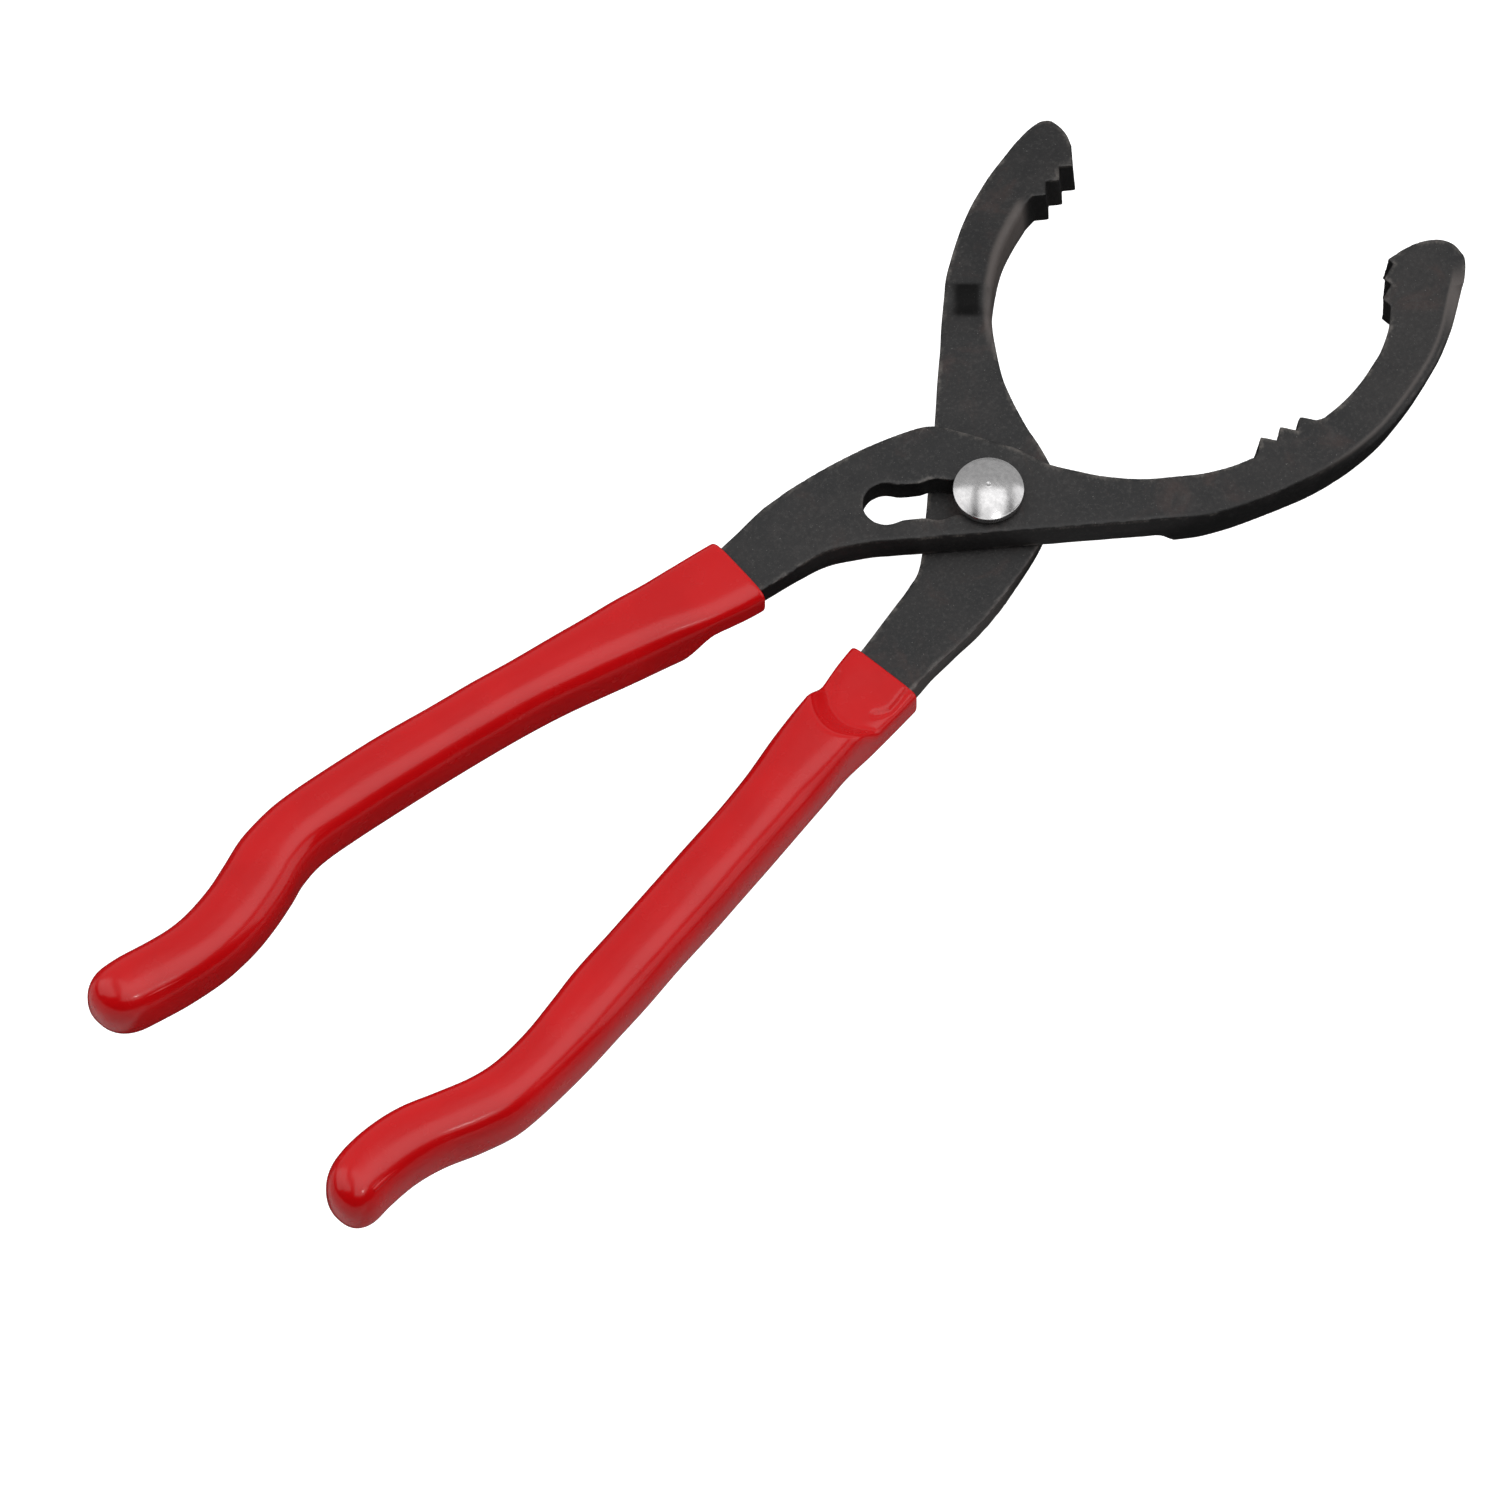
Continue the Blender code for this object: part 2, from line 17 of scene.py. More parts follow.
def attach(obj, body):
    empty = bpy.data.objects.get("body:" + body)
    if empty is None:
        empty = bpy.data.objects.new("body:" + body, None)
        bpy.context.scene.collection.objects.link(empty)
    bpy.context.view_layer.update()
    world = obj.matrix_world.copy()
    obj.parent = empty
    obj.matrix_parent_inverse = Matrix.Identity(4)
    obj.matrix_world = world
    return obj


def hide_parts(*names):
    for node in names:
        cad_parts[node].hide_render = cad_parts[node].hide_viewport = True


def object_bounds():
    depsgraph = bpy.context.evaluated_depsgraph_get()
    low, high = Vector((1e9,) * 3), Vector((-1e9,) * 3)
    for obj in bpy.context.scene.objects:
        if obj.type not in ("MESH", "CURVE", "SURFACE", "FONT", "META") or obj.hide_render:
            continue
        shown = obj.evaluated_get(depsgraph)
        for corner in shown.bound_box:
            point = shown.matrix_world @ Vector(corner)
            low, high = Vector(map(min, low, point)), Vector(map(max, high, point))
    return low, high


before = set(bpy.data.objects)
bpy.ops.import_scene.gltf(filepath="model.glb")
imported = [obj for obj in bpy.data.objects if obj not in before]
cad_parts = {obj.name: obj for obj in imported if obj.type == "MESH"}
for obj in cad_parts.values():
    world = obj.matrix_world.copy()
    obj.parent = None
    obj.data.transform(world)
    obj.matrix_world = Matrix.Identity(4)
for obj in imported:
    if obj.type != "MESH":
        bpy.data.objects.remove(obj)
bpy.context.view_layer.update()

MM = 0.001
MID_Z = -10.3                       # the mating plane in the tool's frame
FINE = 0.5   # grid spacing of the levers


def unit(degrees):
    angle = math.radians(degrees)
    return np.array((math.cos(angle), math.sin(angle)))


# ------------------------------------------------------------------ dimensions
LAP, FULL, GAP = 6.0, 12.0, 0.3     # half-lap and full thickness, clearance
JAW_STEP = 2.6                      # height of the relieved face at the jaw
BEND = math.radians(15.0)           # both arms bend down towards the jaw
BEND_RADIUS = 22.0
FRONT_ARM, REAR_ARM = unit(-45.7), unit(44.3)
FRONT_BEND_AT, REAR_BEND_AT = 34.0, 38.5    # along the arm
FRONT_ARM_RAMP = (33.5, 38.0)               # along the arm, from lap to jaw
FRONT_RAMP, REAR_RAMP = (-62.0, -67.0), (-57.0, -63.0)      # x, from lap to handle
FRONT_CORE_END, REAR_CORE_END = -199.0, -197.3              # x of the steel ends

SLOT_AXIS_DEG, SLOT_PITCH, SLOT_PLACES = 140.3, 10.3, 3
SLOT_AXIS = unit(SLOT_AXIS_DEG)
SCALLOP_R, NECK_HALF = 4.7, 4.0
SHANK_R, SHANK_FLAT_HALF = 4.5, 3.75
KEY_ROOM = 0.15                     # round the shank, in the rear lever

# Handles: x, middle y, half width of the steel, half width of the vinyl
CENTRE, STEEL, VINYL = 1, 2, 3
FRONT_HANDLE = [
    (-46.0, 23.4, 6.3, 8.3), (-52.0, 24.8, 6.3, 8.3), (-61.0, 27.3, 6.4, 8.1),
    (-68.0, 29.5, 6.4, 7.9), (-76.0, 31.6, 6.0, 7.5), (-84.0, 33.8, 5.6, 7.1),
    (-94.0, 36.5, 5.2, 6.7), (-104.0, 38.9, 5.2, 6.7), (-124.0, 43.1, 5.4, 6.9),
    (-140.0, 45.9, 5.4, 6.9), (-149.0, 47.0, 5.4, 6.9), (-155.0, 46.6, 5.6, 7.2),
    (-160.0, 45.5, 6.1, 7.7), (-166.0, 43.9, 6.1, 7.6), (-172.0, 42.7, 5.8, 7.3),
    (-179.0, 42.2, 5.5, 7.0), (-184.0, 42.5, 5.4, 6.9), (-190.0, 43.6, 5.4, 7.0),
    (-196.0, 45.1, 5.4, 7.1), (-201.0, 46.1, 4.8, 6.9), (-208.4, 47.0, 4.0, 6.4),
]
REAR_HANDLE = [
    (-40.0, -11.0, 6.8, 8.7), (-47.0, -11.8, 6.5, 8.4), (-55.0, -12.8, 6.2, 7.9),
    (-62.0, -13.6, 6.2, 7.7), (-70.0, -14.7, 6.2, 7.7), (-80.0, -16.3, 5.8, 7.3),
    (-101.0, -18.8, 5.7, 7.2), (-122.0, -21.0, 5.7, 7.2), (-134.0, -22.3, 5.7, 7.2),
    (-142.0, -23.4, 5.4, 6.9), (-151.0, -24.3, 5.0, 6.5), (-160.0, -24.5, 5.0, 6.5),
    (-166.0, -23.7, 5.2, 6.8), (-173.0, -21.3, 5.4, 7.0), (-180.0, -18.6, 5.4, 6.9),
    (-187.0, -17.1, 5.3, 6.8), (-194.0, -16.8, 5.3, 6.8), (-200.0, -17.6, 4.8, 6.6),
    (-206.6, -18.9, 4.0, 6.2),
]

# Plan edges (x, y): UPPER is the +y edge of a lever, LOWER the -y edge
FRONT_UPPER = [
    (-34.0, 30.0), (-26.0, 29.0), (-18.0, 27.3), (-10.0, 25.1), (-3.2, 22.5),
    (3.2, 18.8), (7.2, 12.0), (11.2, 3.5), (13.1, -3.2), (15.5, -7.9),
    (18.9, -13.4), (24.8, -20.4), (31.6, -25.2), (38.3, -28.2), (44.4, -30.1),
]
FRONT_JAW_INNER = [
    (62.2, -32.7), (68.1, -32.7), (73.8, -31.9), (80.8, -30.1), (84.6, -28.6),
    (88.4, -26.4), (91.7, -23.7),
]
FRONT_TIP = [(99.1, -15.8), (103.0, -16.2), (106.8, -17.0), (110.4, -18.9), (112.2, -21.3)]
FRONT_NOSE = (112.35, -23.7)
FRONT_LOWER = [
    (-39.0, 15.6), (-32.2, 13.6), (-25.6, 9.5), (-19.6, 4.5), (-11.1, -2.7),
    (-2.4, -10.3), (6.1, -17.6), (15.0, -25.2), (20.6, -29.8), (25.8, -33.2),
    (32.0, -35.9), (39.3, -38.3), (45.7, -40.0), (52.2, -41.5), (59.2, -42.6),
    (65.0, -42.9), (71.1, -42.7), (78.3, -41.6), (85.9, -39.8), (92.0, -37.8),
    (98.0, -35.1), (103.4, -32.0), (108.6, -28.6), (111.8, -25.7),
]
REAR_UPPER = [
    (-30.0, -2.3), (-24.0, -1.1), (-18.4, 1.0), (-6.9, 10.3), (6.0, 20.8),
    (13.0, 26.9), (19.9, 32.7), (24.4, 36.6), (29.3, 40.7), (34.6, 44.6),
    (42.1, 49.2), (49.4, 52.8), (57.5, 55.9), (65.2, 58.0), (71.1, 59.3),
    (75.2, 59.5), (77.5, 58.4), (77.9, 56.0), (77.2, 53.0), (75.7, 50.2),
]
REAR_LOWER = [
    (-33.0, -17.4), (-25.0, -17.5), (-18.0, -17.0), (-9.0, -15.6), (-1.5, -14.1),
    (5.0, -11.8), (11.0, -8.1), (15.0, -3.5), (17.2, 1.9), (18.9, 7.9),
    (21.3, 14.4), (24.6, 20.8), (31.2, 29.2), (36.9, 34.6), (44.5, 39.9),
    (51.0, 43.1), (57.0, 45.5),
]
REAR_TEETH_ENDS = [(60.2, 46.2), (74.6, 49.1)]

# How the underside outline is moved to draft the walls: place, shift, reach
FRONT_DRAFT = [((93.5, -22.0), (1.6, -1.6), 17.0), ((53.0, -31.0), (0.95, -0.95), 15.0)]
REAR_DRAFT = [
    ((67.0, 47.0), (0.62, -0.55), 22.0), ((0.0, -13.5), (-0.5, 0.85), 22.0),
    ((-26.0, -17.4), (0.0, 0.8), 17.0),
]


# --------------------------------------------------------------------- helpers
def along_across(x, y, axis):
    return x * axis[0] + y * axis[1], -x * axis[1] + y * axis[0]


def hermite(x, stations, column):
    """Smooth curve through one column of a station table, at x or an array of x."""
    table = sorted(stations)
    xs = np.array([row[0] for row in table])
    ys = np.array([row[column] for row in table])
    x = np.clip(np.asarray(x, float), xs[0], xs[-1])
    i = np.clip(np.searchsorted(xs, x) - 1, 0, len(xs) - 2)
    slope = np.empty(len(xs))
    slope[1:-1] = (ys[2:] - ys[:-2]) / (xs[2:] - xs[:-2])
    slope[0] = (ys[1] - ys[0]) / (xs[1] - xs[0])
    slope[-1] = (ys[-1] - ys[-2]) / (xs[-1] - xs[-2])
    span = xs[i + 1] - xs[i]
    t = (x - xs[i]) / span
    return ((2 * t**3 - 3 * t**2 + 1) * ys[i] + (t**3 - 2 * t**2 + t) * span * slope[i]
            + (3 * t**2 - 2 * t**3) * ys[i + 1] + (t**3 - t**2) * span * slope[i + 1])


def spline(points, per_span=5):
    """Catmull-Rom curve through the points."""
    p = [np.array(q, float) for q in points]
    p = [2 * p[0] - p[1]] + p + [2 * p[-1] - p[-2]]
    out = []
    for i in range(1, len(p) - 2):
        for k in range(per_span):
            t = k / per_span
            out.append(0.5 * (2 * p[i] + (p[i + 1] - p[i - 1]) * t
                              + (2 * p[i - 1] - 5 * p[i] + 4 * p[i + 1] - p[i + 2]) * t**2
                              + (3 * p[i] - p[i - 1] - 3 * p[i + 1] + p[i + 2]) * t**3))
    out.append(p[-2])
    return [tuple(q) for q in out]


def saw(start, end, count, depth, side, lean=0.53):
    """Row of teeth rising towards side; lean is where each tip stands in its pitch."""
    start, end = np.array(start, float), np.array(end, float)
    out = []
    for k in range(count):
        root = start + (end - start) * k / count
        tip = start + (end - start) * (k + lean) / count + np.array(side, float) * depth
        out += [tuple(root), tuple(tip)]
    out.append(tuple(end))
    return out


def step(x, low, high):
    t = np.clip((x - low) / (high - low), 0.0, 1.0)
    return t * t * (3.0 - 2.0 * t)


def waves(seed, count, short, long):
    """A smooth, repeatable random field of unit size, as a sum of plane waves."""
    rng = np.random.default_rng(seed)
    vectors = rng.normal(size=(count, 3))
    vectors /= np.linalg.norm(vectors, axis=1)[:, None]
    length = np.exp(rng.uniform(math.log(short), math.log(long), count))
    vectors *= (2 * math.pi / length)[:, None]
    phases = rng.uniform(0, 2 * math.pi, count)
    sizes = length ** 0.5
    sizes /= math.sqrt(0.5 * float(np.sum(sizes**2)))

    def field(x, y, z):
        out = 0.0
        for (kx, ky, kz), phase, size in zip(vectors, phases, sizes):
            out = out + size * np.sin(kx * x + ky * y + kz * z + phase)
        return out
    return field


class Outline:
    """Distance to a plan line; signed, negative inside, when the line is closed."""

    def __init__(self, points, closed=True):
        kept = []
        for point in points:
            if not kept or math.dist(kept[-1], point) > 1e-4:
                kept.append(tuple(point))
        self.starts = np.array(kept, np.float32)
        self.ends = np.roll(self.starts, -1, axis=0)
        if not closed:
            self.starts, self.ends = self.starts[:-1], self.ends[:-1]
        self.closed = closed

    def __call__(self, x, y):
        shape = np.broadcast(x, y).shape
        x = np.broadcast_to(x, shape).astype(np.float32).ravel()
        y = np.broadcast_to(y, shape).astype(np.float32).ravel()
        best = np.full(x.shape, 1e9, np.float32)
        odd = np.zeros(x.shape, bool)
        for (x0, y0), (x1, y1) in zip(self.starts, self.ends):
            ex, ey = x1 - x0, y1 - y0
            wx, wy = x - x0, y - y0
            t = (wx * ex + wy * ey) / (ex * ex + ey * ey)
            np.clip(t, 0.0, 1.0, out=t)
            dx, dy = wx - ex * t, wy - ey * t
            np.minimum(best, dx * dx + dy * dy, out=best)
            if self.closed and y0 != y1:
                spans = (y0 <= y) != (y1 <= y)
                cross = wx * ey - wy * ex
                odd ^= spans & ((cross < 0) if ey > 0 else (cross > 0))
        distance = np.sqrt(best)
        if self.closed:
            distance = np.where(odd, -distance, distance)
        return distance.reshape(shape)


def round_and(a, b, radius):
    """Both inside, with the edge between them rounded to the radius."""
    u = np.maximum(a + radius, 0.0)
    v = np.maximum(b + radius, 0.0)
    return np.minimum(np.maximum(a, b), -radius) + np.sqrt(u * u + v * v)


def soft_extra(a, b, width):
    """What a blend of that width adds where two distances are nearly equal."""
    near = np.maximum(width - np.abs(a - b), 0.0) / width
    return near * near * width * 0.25


# --------------------------------------------------------- solid from a distance
def edge_crossings(values, grid):
    """Where the grid edges cross zero, and the four cells round each such edge."""
    inside = values < 0
    cells_y, cells_z = values.shape[1] - 1, values.shape[2] - 1
    points, rings = [], []
    for axis in range(3):
        lower = [slice(None)] * 3
        upper = [slice(None)] * 3
        lower[axis], upper[axis] = slice(0, -1), slice(1, None)
        start = np.array(np.nonzero(inside[tuple(lower)] != inside[tuple(upper)]))
        end = start.copy()
        end[axis] += 1
        value0 = values[tuple(start)].astype(float)
        value1 = values[tuple(end)].astype(float)
        t = value0 / (value0 - value1)
        points.append(np.stack([line[i] + (line[j] - line[i]) * t
                                for line, i, j in zip(grid, start, end)], 1))
        u, v = [(1, 2), (2, 0), (0, 1)][axis]
        ring = []
        for du, dv in ((1, 1), (0, 1), (0, 0), (1, 0)):
            cell = start.copy()
            cell[u] -= du
            cell[v] -= dv
            ring.append((cell[0] * cells_y + cell[1]) * cells_z + cell[2])
        ring = np.stack(ring, 1)
        ring[value0 > 0] = ring[value0 > 0][:, ::-1]
        rings.append(ring)
    return np.concatenate(points), np.concatenate(rings)


def contour(field, plan, xs, ys, zs):
    """Dual contouring of field(x, y, z, plan(x, y)) on a grid: one vertex a cell, placed
    on the planes that cross it, so rounded faces stay smooth and tooth edges sharp."""
    def value(x, y, z):
        return field(x, y, z, plan(x, y))

    gx, gy = xs[:, None], ys[None, :]
    flat = plan(gx, gy)
    values = np.empty((len(xs), len(ys), len(zs)), np.float32)
    for k, z in enumerate(zs):
        values[:, :, k] = field(gx, gy, z, flat)
    values[values == 0.0] = 1e-7
    points, rings = edge_crossings(values, (xs, ys, zs))

    # true crossing and slope at each crossing
    reach = 0.02
    slope = np.stack([value(*(points + shift).T) - value(*(points - shift).T)
                      for shift in np.eye(3) * reach], 1)
    slope = slope / (2 * reach)
    size = np.linalg.norm(slope, axis=1)[:, None] + 1e-9
    here = value(*points.T)[:, None]
    points = points - np.clip(here / size, -0.2, 0.2) * slope / size
    normals = slope / size

    # each cell's vertex is the least-squares meeting point of its planes
    ids, back = np.unique(rings.ravel(), return_inverse=True)
    back = back.ravel()
    cells = len(ids)
    points4, normals4 = np.repeat(points, 4, 0), np.repeat(normals, 4, 0)
    count = np.bincount(back, minlength=cells).astype(float)
    mean = np.stack([np.bincount(back, points4[:, n], cells) for n in range(3)], 1)
    mean = mean / count[:, None]
    offset = np.sum((points4 - mean[back]) * normals4, 1)
    matrix = np.zeros((cells, 3, 3))
    target = np.zeros((cells, 3))
    for r in range(3):
        target[:, r] = np.bincount(back, normals4[:, r] * offset, cells)
        for c in range(3):
            matrix[:, r, c] = np.bincount(back, normals4[:, r] * normals4[:, c], cells)
    # a pull towards the mean steadies cells whose planes are nearly parallel
    matrix += np.eye(3) * 0.08 * count[:, None, None] ** 0.5
    move = np.linalg.solve(matrix, target[:, :, None])[:, :, 0]
    cells_y, cells_z = len(ys) - 1, len(zs) - 1
    i, j, k = ids // (cells_y * cells_z), (ids // cells_z) % cells_y, ids % cells_z
    low = np.stack([xs[i], ys[j], zs[k]], 1)
    high = np.stack([xs[i + 1], ys[j + 1], zs[k + 1]], 1)
    return np.clip(mean + move, low, high), back.reshape(rings.shape)


def grid_lines(stretches):
    """Grid lines from a list of (start, end, spacing) stretches."""
    out = []
    for start, end, spacing in stretches:
        n = max(1, int(round((end - start) / spacing)))
        out += list(start + (end - start) * np.arange(n) / n)
    out.append(stretches[-1][1])
    return np.array(out)


def make(name, verts, faces, body, node, slot, sharp, attributes=None):
    """A mesh object in the tool's frame, riding on its body in place of its node."""
    mesh = bpy.data.meshes.new(name)
    places = np.array(verts, float) * MM
    places[:, 2] += MID_Z * MM
    if isinstance(faces, np.ndarray):
        count, corners = faces.shape
        loops = count * corners
        mesh.vertices.add(len(places))
        mesh.vertices.foreach_set("co", places.astype(np.float32).ravel())
        mesh.loops.add(loops)
        mesh.loops.foreach_set("vertex_index", faces.astype(np.int32).ravel())
        mesh.polygons.add(count)
        mesh.polygons.foreach_set("loop_start", np.arange(0, loops, corners, dtype=np.int32))
        mesh.update(calc_edges=True)
        mesh.validate()
    else:
        mesh.from_pydata([tuple(p) for p in places], [], [list(f) for f in faces])
    for key, values in (attributes or {}).items():
        layer = mesh.attributes.new(key, "FLOAT", "POINT")
        layer.data.foreach_set("value", np.asarray(values, np.float32))
    obj = bpy.data.objects.new(name, mesh)
    bpy.context.scene.collection.objects.link(obj)
    mesh.shade_smooth()
    mesh.set_sharp_from_angle(angle=math.radians(sharp))
    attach(obj, body)
    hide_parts(node)
    return obj


# -------------------------------------------------------------- lever outlines
def core_edges(stations, end):
    """The +y and -y edges of a handle's steel, from its first station to its end."""
    first, spacing, rounding = stations[0][0], 3.0, 5.0
    xs = np.linspace(first, end, int((first - end) / spacing) + 1)
    centre, half = hermite(xs, stations, CENTRE), hermite(xs, stations, STEEL)
    past = np.clip((end + rounding - xs) / rounding, 0.0, 1.0)
    half = half * np.sqrt(1.0 - 0.75 * past**2)
    return list(zip(xs, centre + half)), list(zip(xs, centre - half))


def front_outline():
    upper, lower = core_edges(FRONT_HANDLE, FRONT_CORE_END)
    teeth = saw((45.9, -29.6), (60.6, -32.1), count=3, depth=2.4, side=(0.0, 1.0))
    notches = saw((91.9, -23.2), (99.1, -17.2), count=2, depth=1.6, side=(-0.5, 0.86),
                  lean=0.14)
    nose = spline(FRONT_LOWER[-3:] + [FRONT_NOSE] + FRONT_TIP[::-1], 6)
    return (lower[::-1] + spline(FRONT_LOWER[:-2]) + nose
            + notches[::-1] + spline(FRONT_JAW_INNER)[::-1]
            + teeth[::-1] + spline(FRONT_UPPER)[::-1] + upper)


def rear_outline():
    upper, lower = core_edges(REAR_HANDLE, REAR_CORE_END)
    teeth = saw(*REAR_TEETH_ENDS, count=3, depth=2.2, side=(0.0, -1.0), lean=0.46)
    return lower[::-1] + spline(REAR_LOWER) + teeth + spline(REAR_UPPER)[::-1] + upper


def drafted(points, moves):
    """The same outline with the points near each spot moved aside."""
    for where, amount, reach in moves:
        weights = [float(1.0 - step(math.dist(p, where), 0.0, reach)) for p in points]
        points = [(x + amount[0] * w, y + amount[1] * w)
                  for (x, y), w in zip(points, weights)]
    return points


FRONT_POINTS, REAR_POINTS = front_outline(), rear_outline()
FRONT_TOP, FRONT_BOTTOM = Outline(FRONT_POINTS), Outline(drafted(FRONT_POINTS, FRONT_DRAFT))
REAR_TOP, REAR_BOTTOM = Outline(REAR_POINTS), Outline(drafted(REAR_POINTS, REAR_DRAFT))
FRONT_OUTER = Outline(spline(FRONT_LOWER), closed=False)
REAR_INNER = Outline(spline(REAR_LOWER[8:]) + REAR_TEETH_ENDS[:1], closed=False)
REAR_TEETH = Outline(REAR_TEETH_ENDS, closed=False)


# ---------------------------------------------------------------------- levers
UNEVEN = waves(7, 26, 5.0, 22.0)    # slight unevenness of the forging


def relief_height(side, jaw, handle):
    """Height of the relieved face as it goes from lap to jaw or handle."""
    lap = -side * GAP / 2
    return lap + (side * JAW_STEP - lap) * jaw + (side * FULL / 2 - lap) * handle


def front_relief(x, y):
    along, _ = along_across(x, y, FRONT_ARM)
    return relief_height(-1.0, step(along, *FRONT_ARM_RAMP),
                         step(-x, -FRONT_RAMP[0], -FRONT_RAMP[1]))


def rear_relief(x, y):
    along, _ = along_across(x, y, REAR_ARM)
    # the cutter leaves a hollow that steepens towards the jaw
    jaw = np.clip((along - 44.6) / 5.8, 0.0, 1.0) ** 2.2
    return relief_height(1.0, jaw, step(-x, -REAR_RAMP[0], -REAR_RAMP[1]))


def slot_distance(x, y):
    """Three overlapping scallops in a row, joined by a straight neck."""
    along, across = along_across(x, y, SLOT_AXIS)
    scallops = np.minimum.reduce([np.hypot(along - k * SLOT_PITCH, across) - SCALLOP_R
                                  for k in range(SLOT_PLACES)])
    half = SLOT_PITCH * (SLOT_PLACES - 1) / 2
    neck = np.maximum(np.abs(along - half) - half, np.abs(across) - NECK_HALF)
    # the cusps between the scallops are worn a little round
    return np.minimum(scallops, neck) - soft_extra(scallops, neck, 0.7)


def key_distance(x, y):
    """The rear lever's hole: a circle with two flats, round the bolt's shank."""
    across = along_across(x, y, SLOT_AXIS)[1]
    return np.maximum(np.hypot(x, y) - SHANK_R - KEY_ROOM,
                      np.abs(across) - SHANK_FLAT_HALF - KEY_ROOM)


def drafted_wall(plan, z, top):
    """Distance to the side wall, passing from the top to the bottom outline."""
    depth = np.clip((top - z) / (FULL / 2 + JAW_STEP), 0.0, 1.0)
    wall = plan["wall"] * (1.0 - depth) + plan["low_wall"] * depth
    return wall + plan["bulge"] * 0.30 - 0.06


def front_plan(x, y):
    """What the front lever's shape, wear and painted highlight need at each place in plan."""
    wall = FRONT_TOP(x, y)
    # the bevel runs where the outer edge is the nearest, but not round the nose
    beside_outer = 1.0 - step(FRONT_OUTER(x, y) - np.abs(wall), 0.2, 1.6)
    nose = step(x, 104.5, 109.5) * step(y, -30.5, -24.5)
    near = beside_outer * (1.0 - nose)
    # it is steep along the lever, flatter and wider towards the tip
    flat = step(x, 38.0, 84.0)
    off_handle = step(x, -45.0, -30.0)
    run = (0.85 + 1.15 * flat + 0.7 * step(x, 92.0, 104.0)) * off_handle + 1e-3
    # painted highlight: a paler ridge, spreading over the whole bevel near the tip, standing
    # in for the light it catches
    ridge = 1.0 - step(np.abs(wall + run * 0.9), 0.10, 0.62)
    plane = step(wall + run, -0.3, 0.4)
    spread = step(x, 94.0, 104.0)
    rubbed = near * step(x, 46.0, 68.0)
    rubbed = rubbed * (0.75 * ridge * (1.0 - spread) + plane * spread)
    return {"wall": wall, "low_wall": FRONT_BOTTOM(x, y), "slot": slot_distance(x, y),
            "near": near, "run": run, "fall": 2.6 - 1.5 * flat, "rubbed": rubbed,
            "bulge": 0.10 * UNEVEN(x, y, 0.0)}


def front_field(x, y, z, plan):
    wall = drafted_wall(plan, z, FULL / 2)
    top = z - FULL / 2 + 0.02 * plan["bulge"]
    bottom = front_relief(x, y) - z
    # edges are rounder where the grip hides the steel
    body = round_and(wall, top, 0.42 + 2.4 * step(-x, 51.0, 57.0))
    run, fall = plan["run"], plan["fall"]
    bevel = ((wall + run) * fall + top * run) / np.hypot(run, fall)
    bevel = bevel - 12.0 * (1.0 - plan["near"])
    body = np.maximum(body, bevel) + soft_extra(body, bevel, 0.4)
    body = round_and(body, bottom, 0.5 + 2.3 * step(-x, 60.0, 68.0))
    return round_and(body, -plan["slot"], 0.35)


def rear_plan(x, y):
    """What the rear lever's shape, wear, painted highlight and painted shade need at each
    place in plan.
    """
    wall = REAR_TOP(x, y)
    along, across = along_across(x, y, REAR_ARM)
    inner = 1.0 - step(REAR_INNER(x, y) - np.abs(wall), 0.2, 1.4)
    # painted shade: the deep corner behind the jaw is coloured darker than the rest, standing
    # in for the shade that falls in the hollow
    band = step(across, 0.5, 2.6) * (1.0 - step(across, 5.6, 8.0))
    soot = step(along, 43.4, 45.4) * (1.0 - step(along, 50.2, 51.5)) * (0.2 + 0.7 * band)
    return {"wall": wall, "low_wall": REAR_BOTTOM(x, y), "key": key_distance(x, y),
            "jaw": step(along, 34.0, 44.0), "thin": 0.8 * step(along, 44.0, 62.0),
            "inner": inner * step(x + y, 40.0, 62.0),
            "off_teeth": step(REAR_TEETH(x, y), 1.0, 5.0),
            "bulge": 0.10 * UNEVEN(x + 80.0, y, 0.0), "soot": soot}


def rear_field(x, y, z, plan):
    wall = drafted_wall(plan, z, JAW_STEP)
    top = z - rear_relief(x, y) + 0.02 * plan["bulge"]
    bottom = -FULL / 2 + plan["thin"] - z
    top_radius = (0.45 + 1.5 * plan["jaw"] * plan["inner"] * plan["off_teeth"]
                  + 2.3 * step(-x, 55.0, 64.0))
    body = round_and(wall, top, top_radius)
    body = round_and(body, bottom, 0.5 + 2.2 * step(-x, 45.0, 52.0))
    return round_and(body, -plan["key"], 0.3)


def edge_factor(wall, top, bottom, radius):
    """1 in the middle of a rounded edge, 0 on the flats."""
    def one(face):
        return np.clip(np.minimum(wall + radius, face + radius) / (0.29 * radius), 0.0, 1.0)
    return np.maximum(one(top), one(bottom))


def bend_points(verts, arm, start):
    """Bend the arm down past start, on an arc about a line under it."""
    s = verts[:, 0] * arm[0] + verts[:, 1] * arm[1]
    z = verts[:, 2]
    length = BEND_RADIUS * BEND
    angle = np.clip(s - start, 0.0, length) / BEND_RADIUS
    rest = np.maximum(s - start - length, 0.0)
    r = BEND_RADIUS + z
    new_s = np.where(s <= start, s, start + r * np.sin(angle) + rest * np.cos(angle))
    new_z = np.where(s <= start, z, -BEND_RADIUS + r * np.cos(angle) - rest * np.sin(angle))
    out = verts.copy()
    out[:, 0] += arm[0] * (new_s - s)
    out[:, 1] += arm[1] * (new_s - s)
    out[:, 2] = new_z
    return out


def contour_lever(field, plan, x_stretches, y_range):
    return contour(field, plan, grid_lines(x_stretches), grid_lines([(*y_range, FINE)]),
                   grid_lines([(-6.9, 6.9, FINE)]))


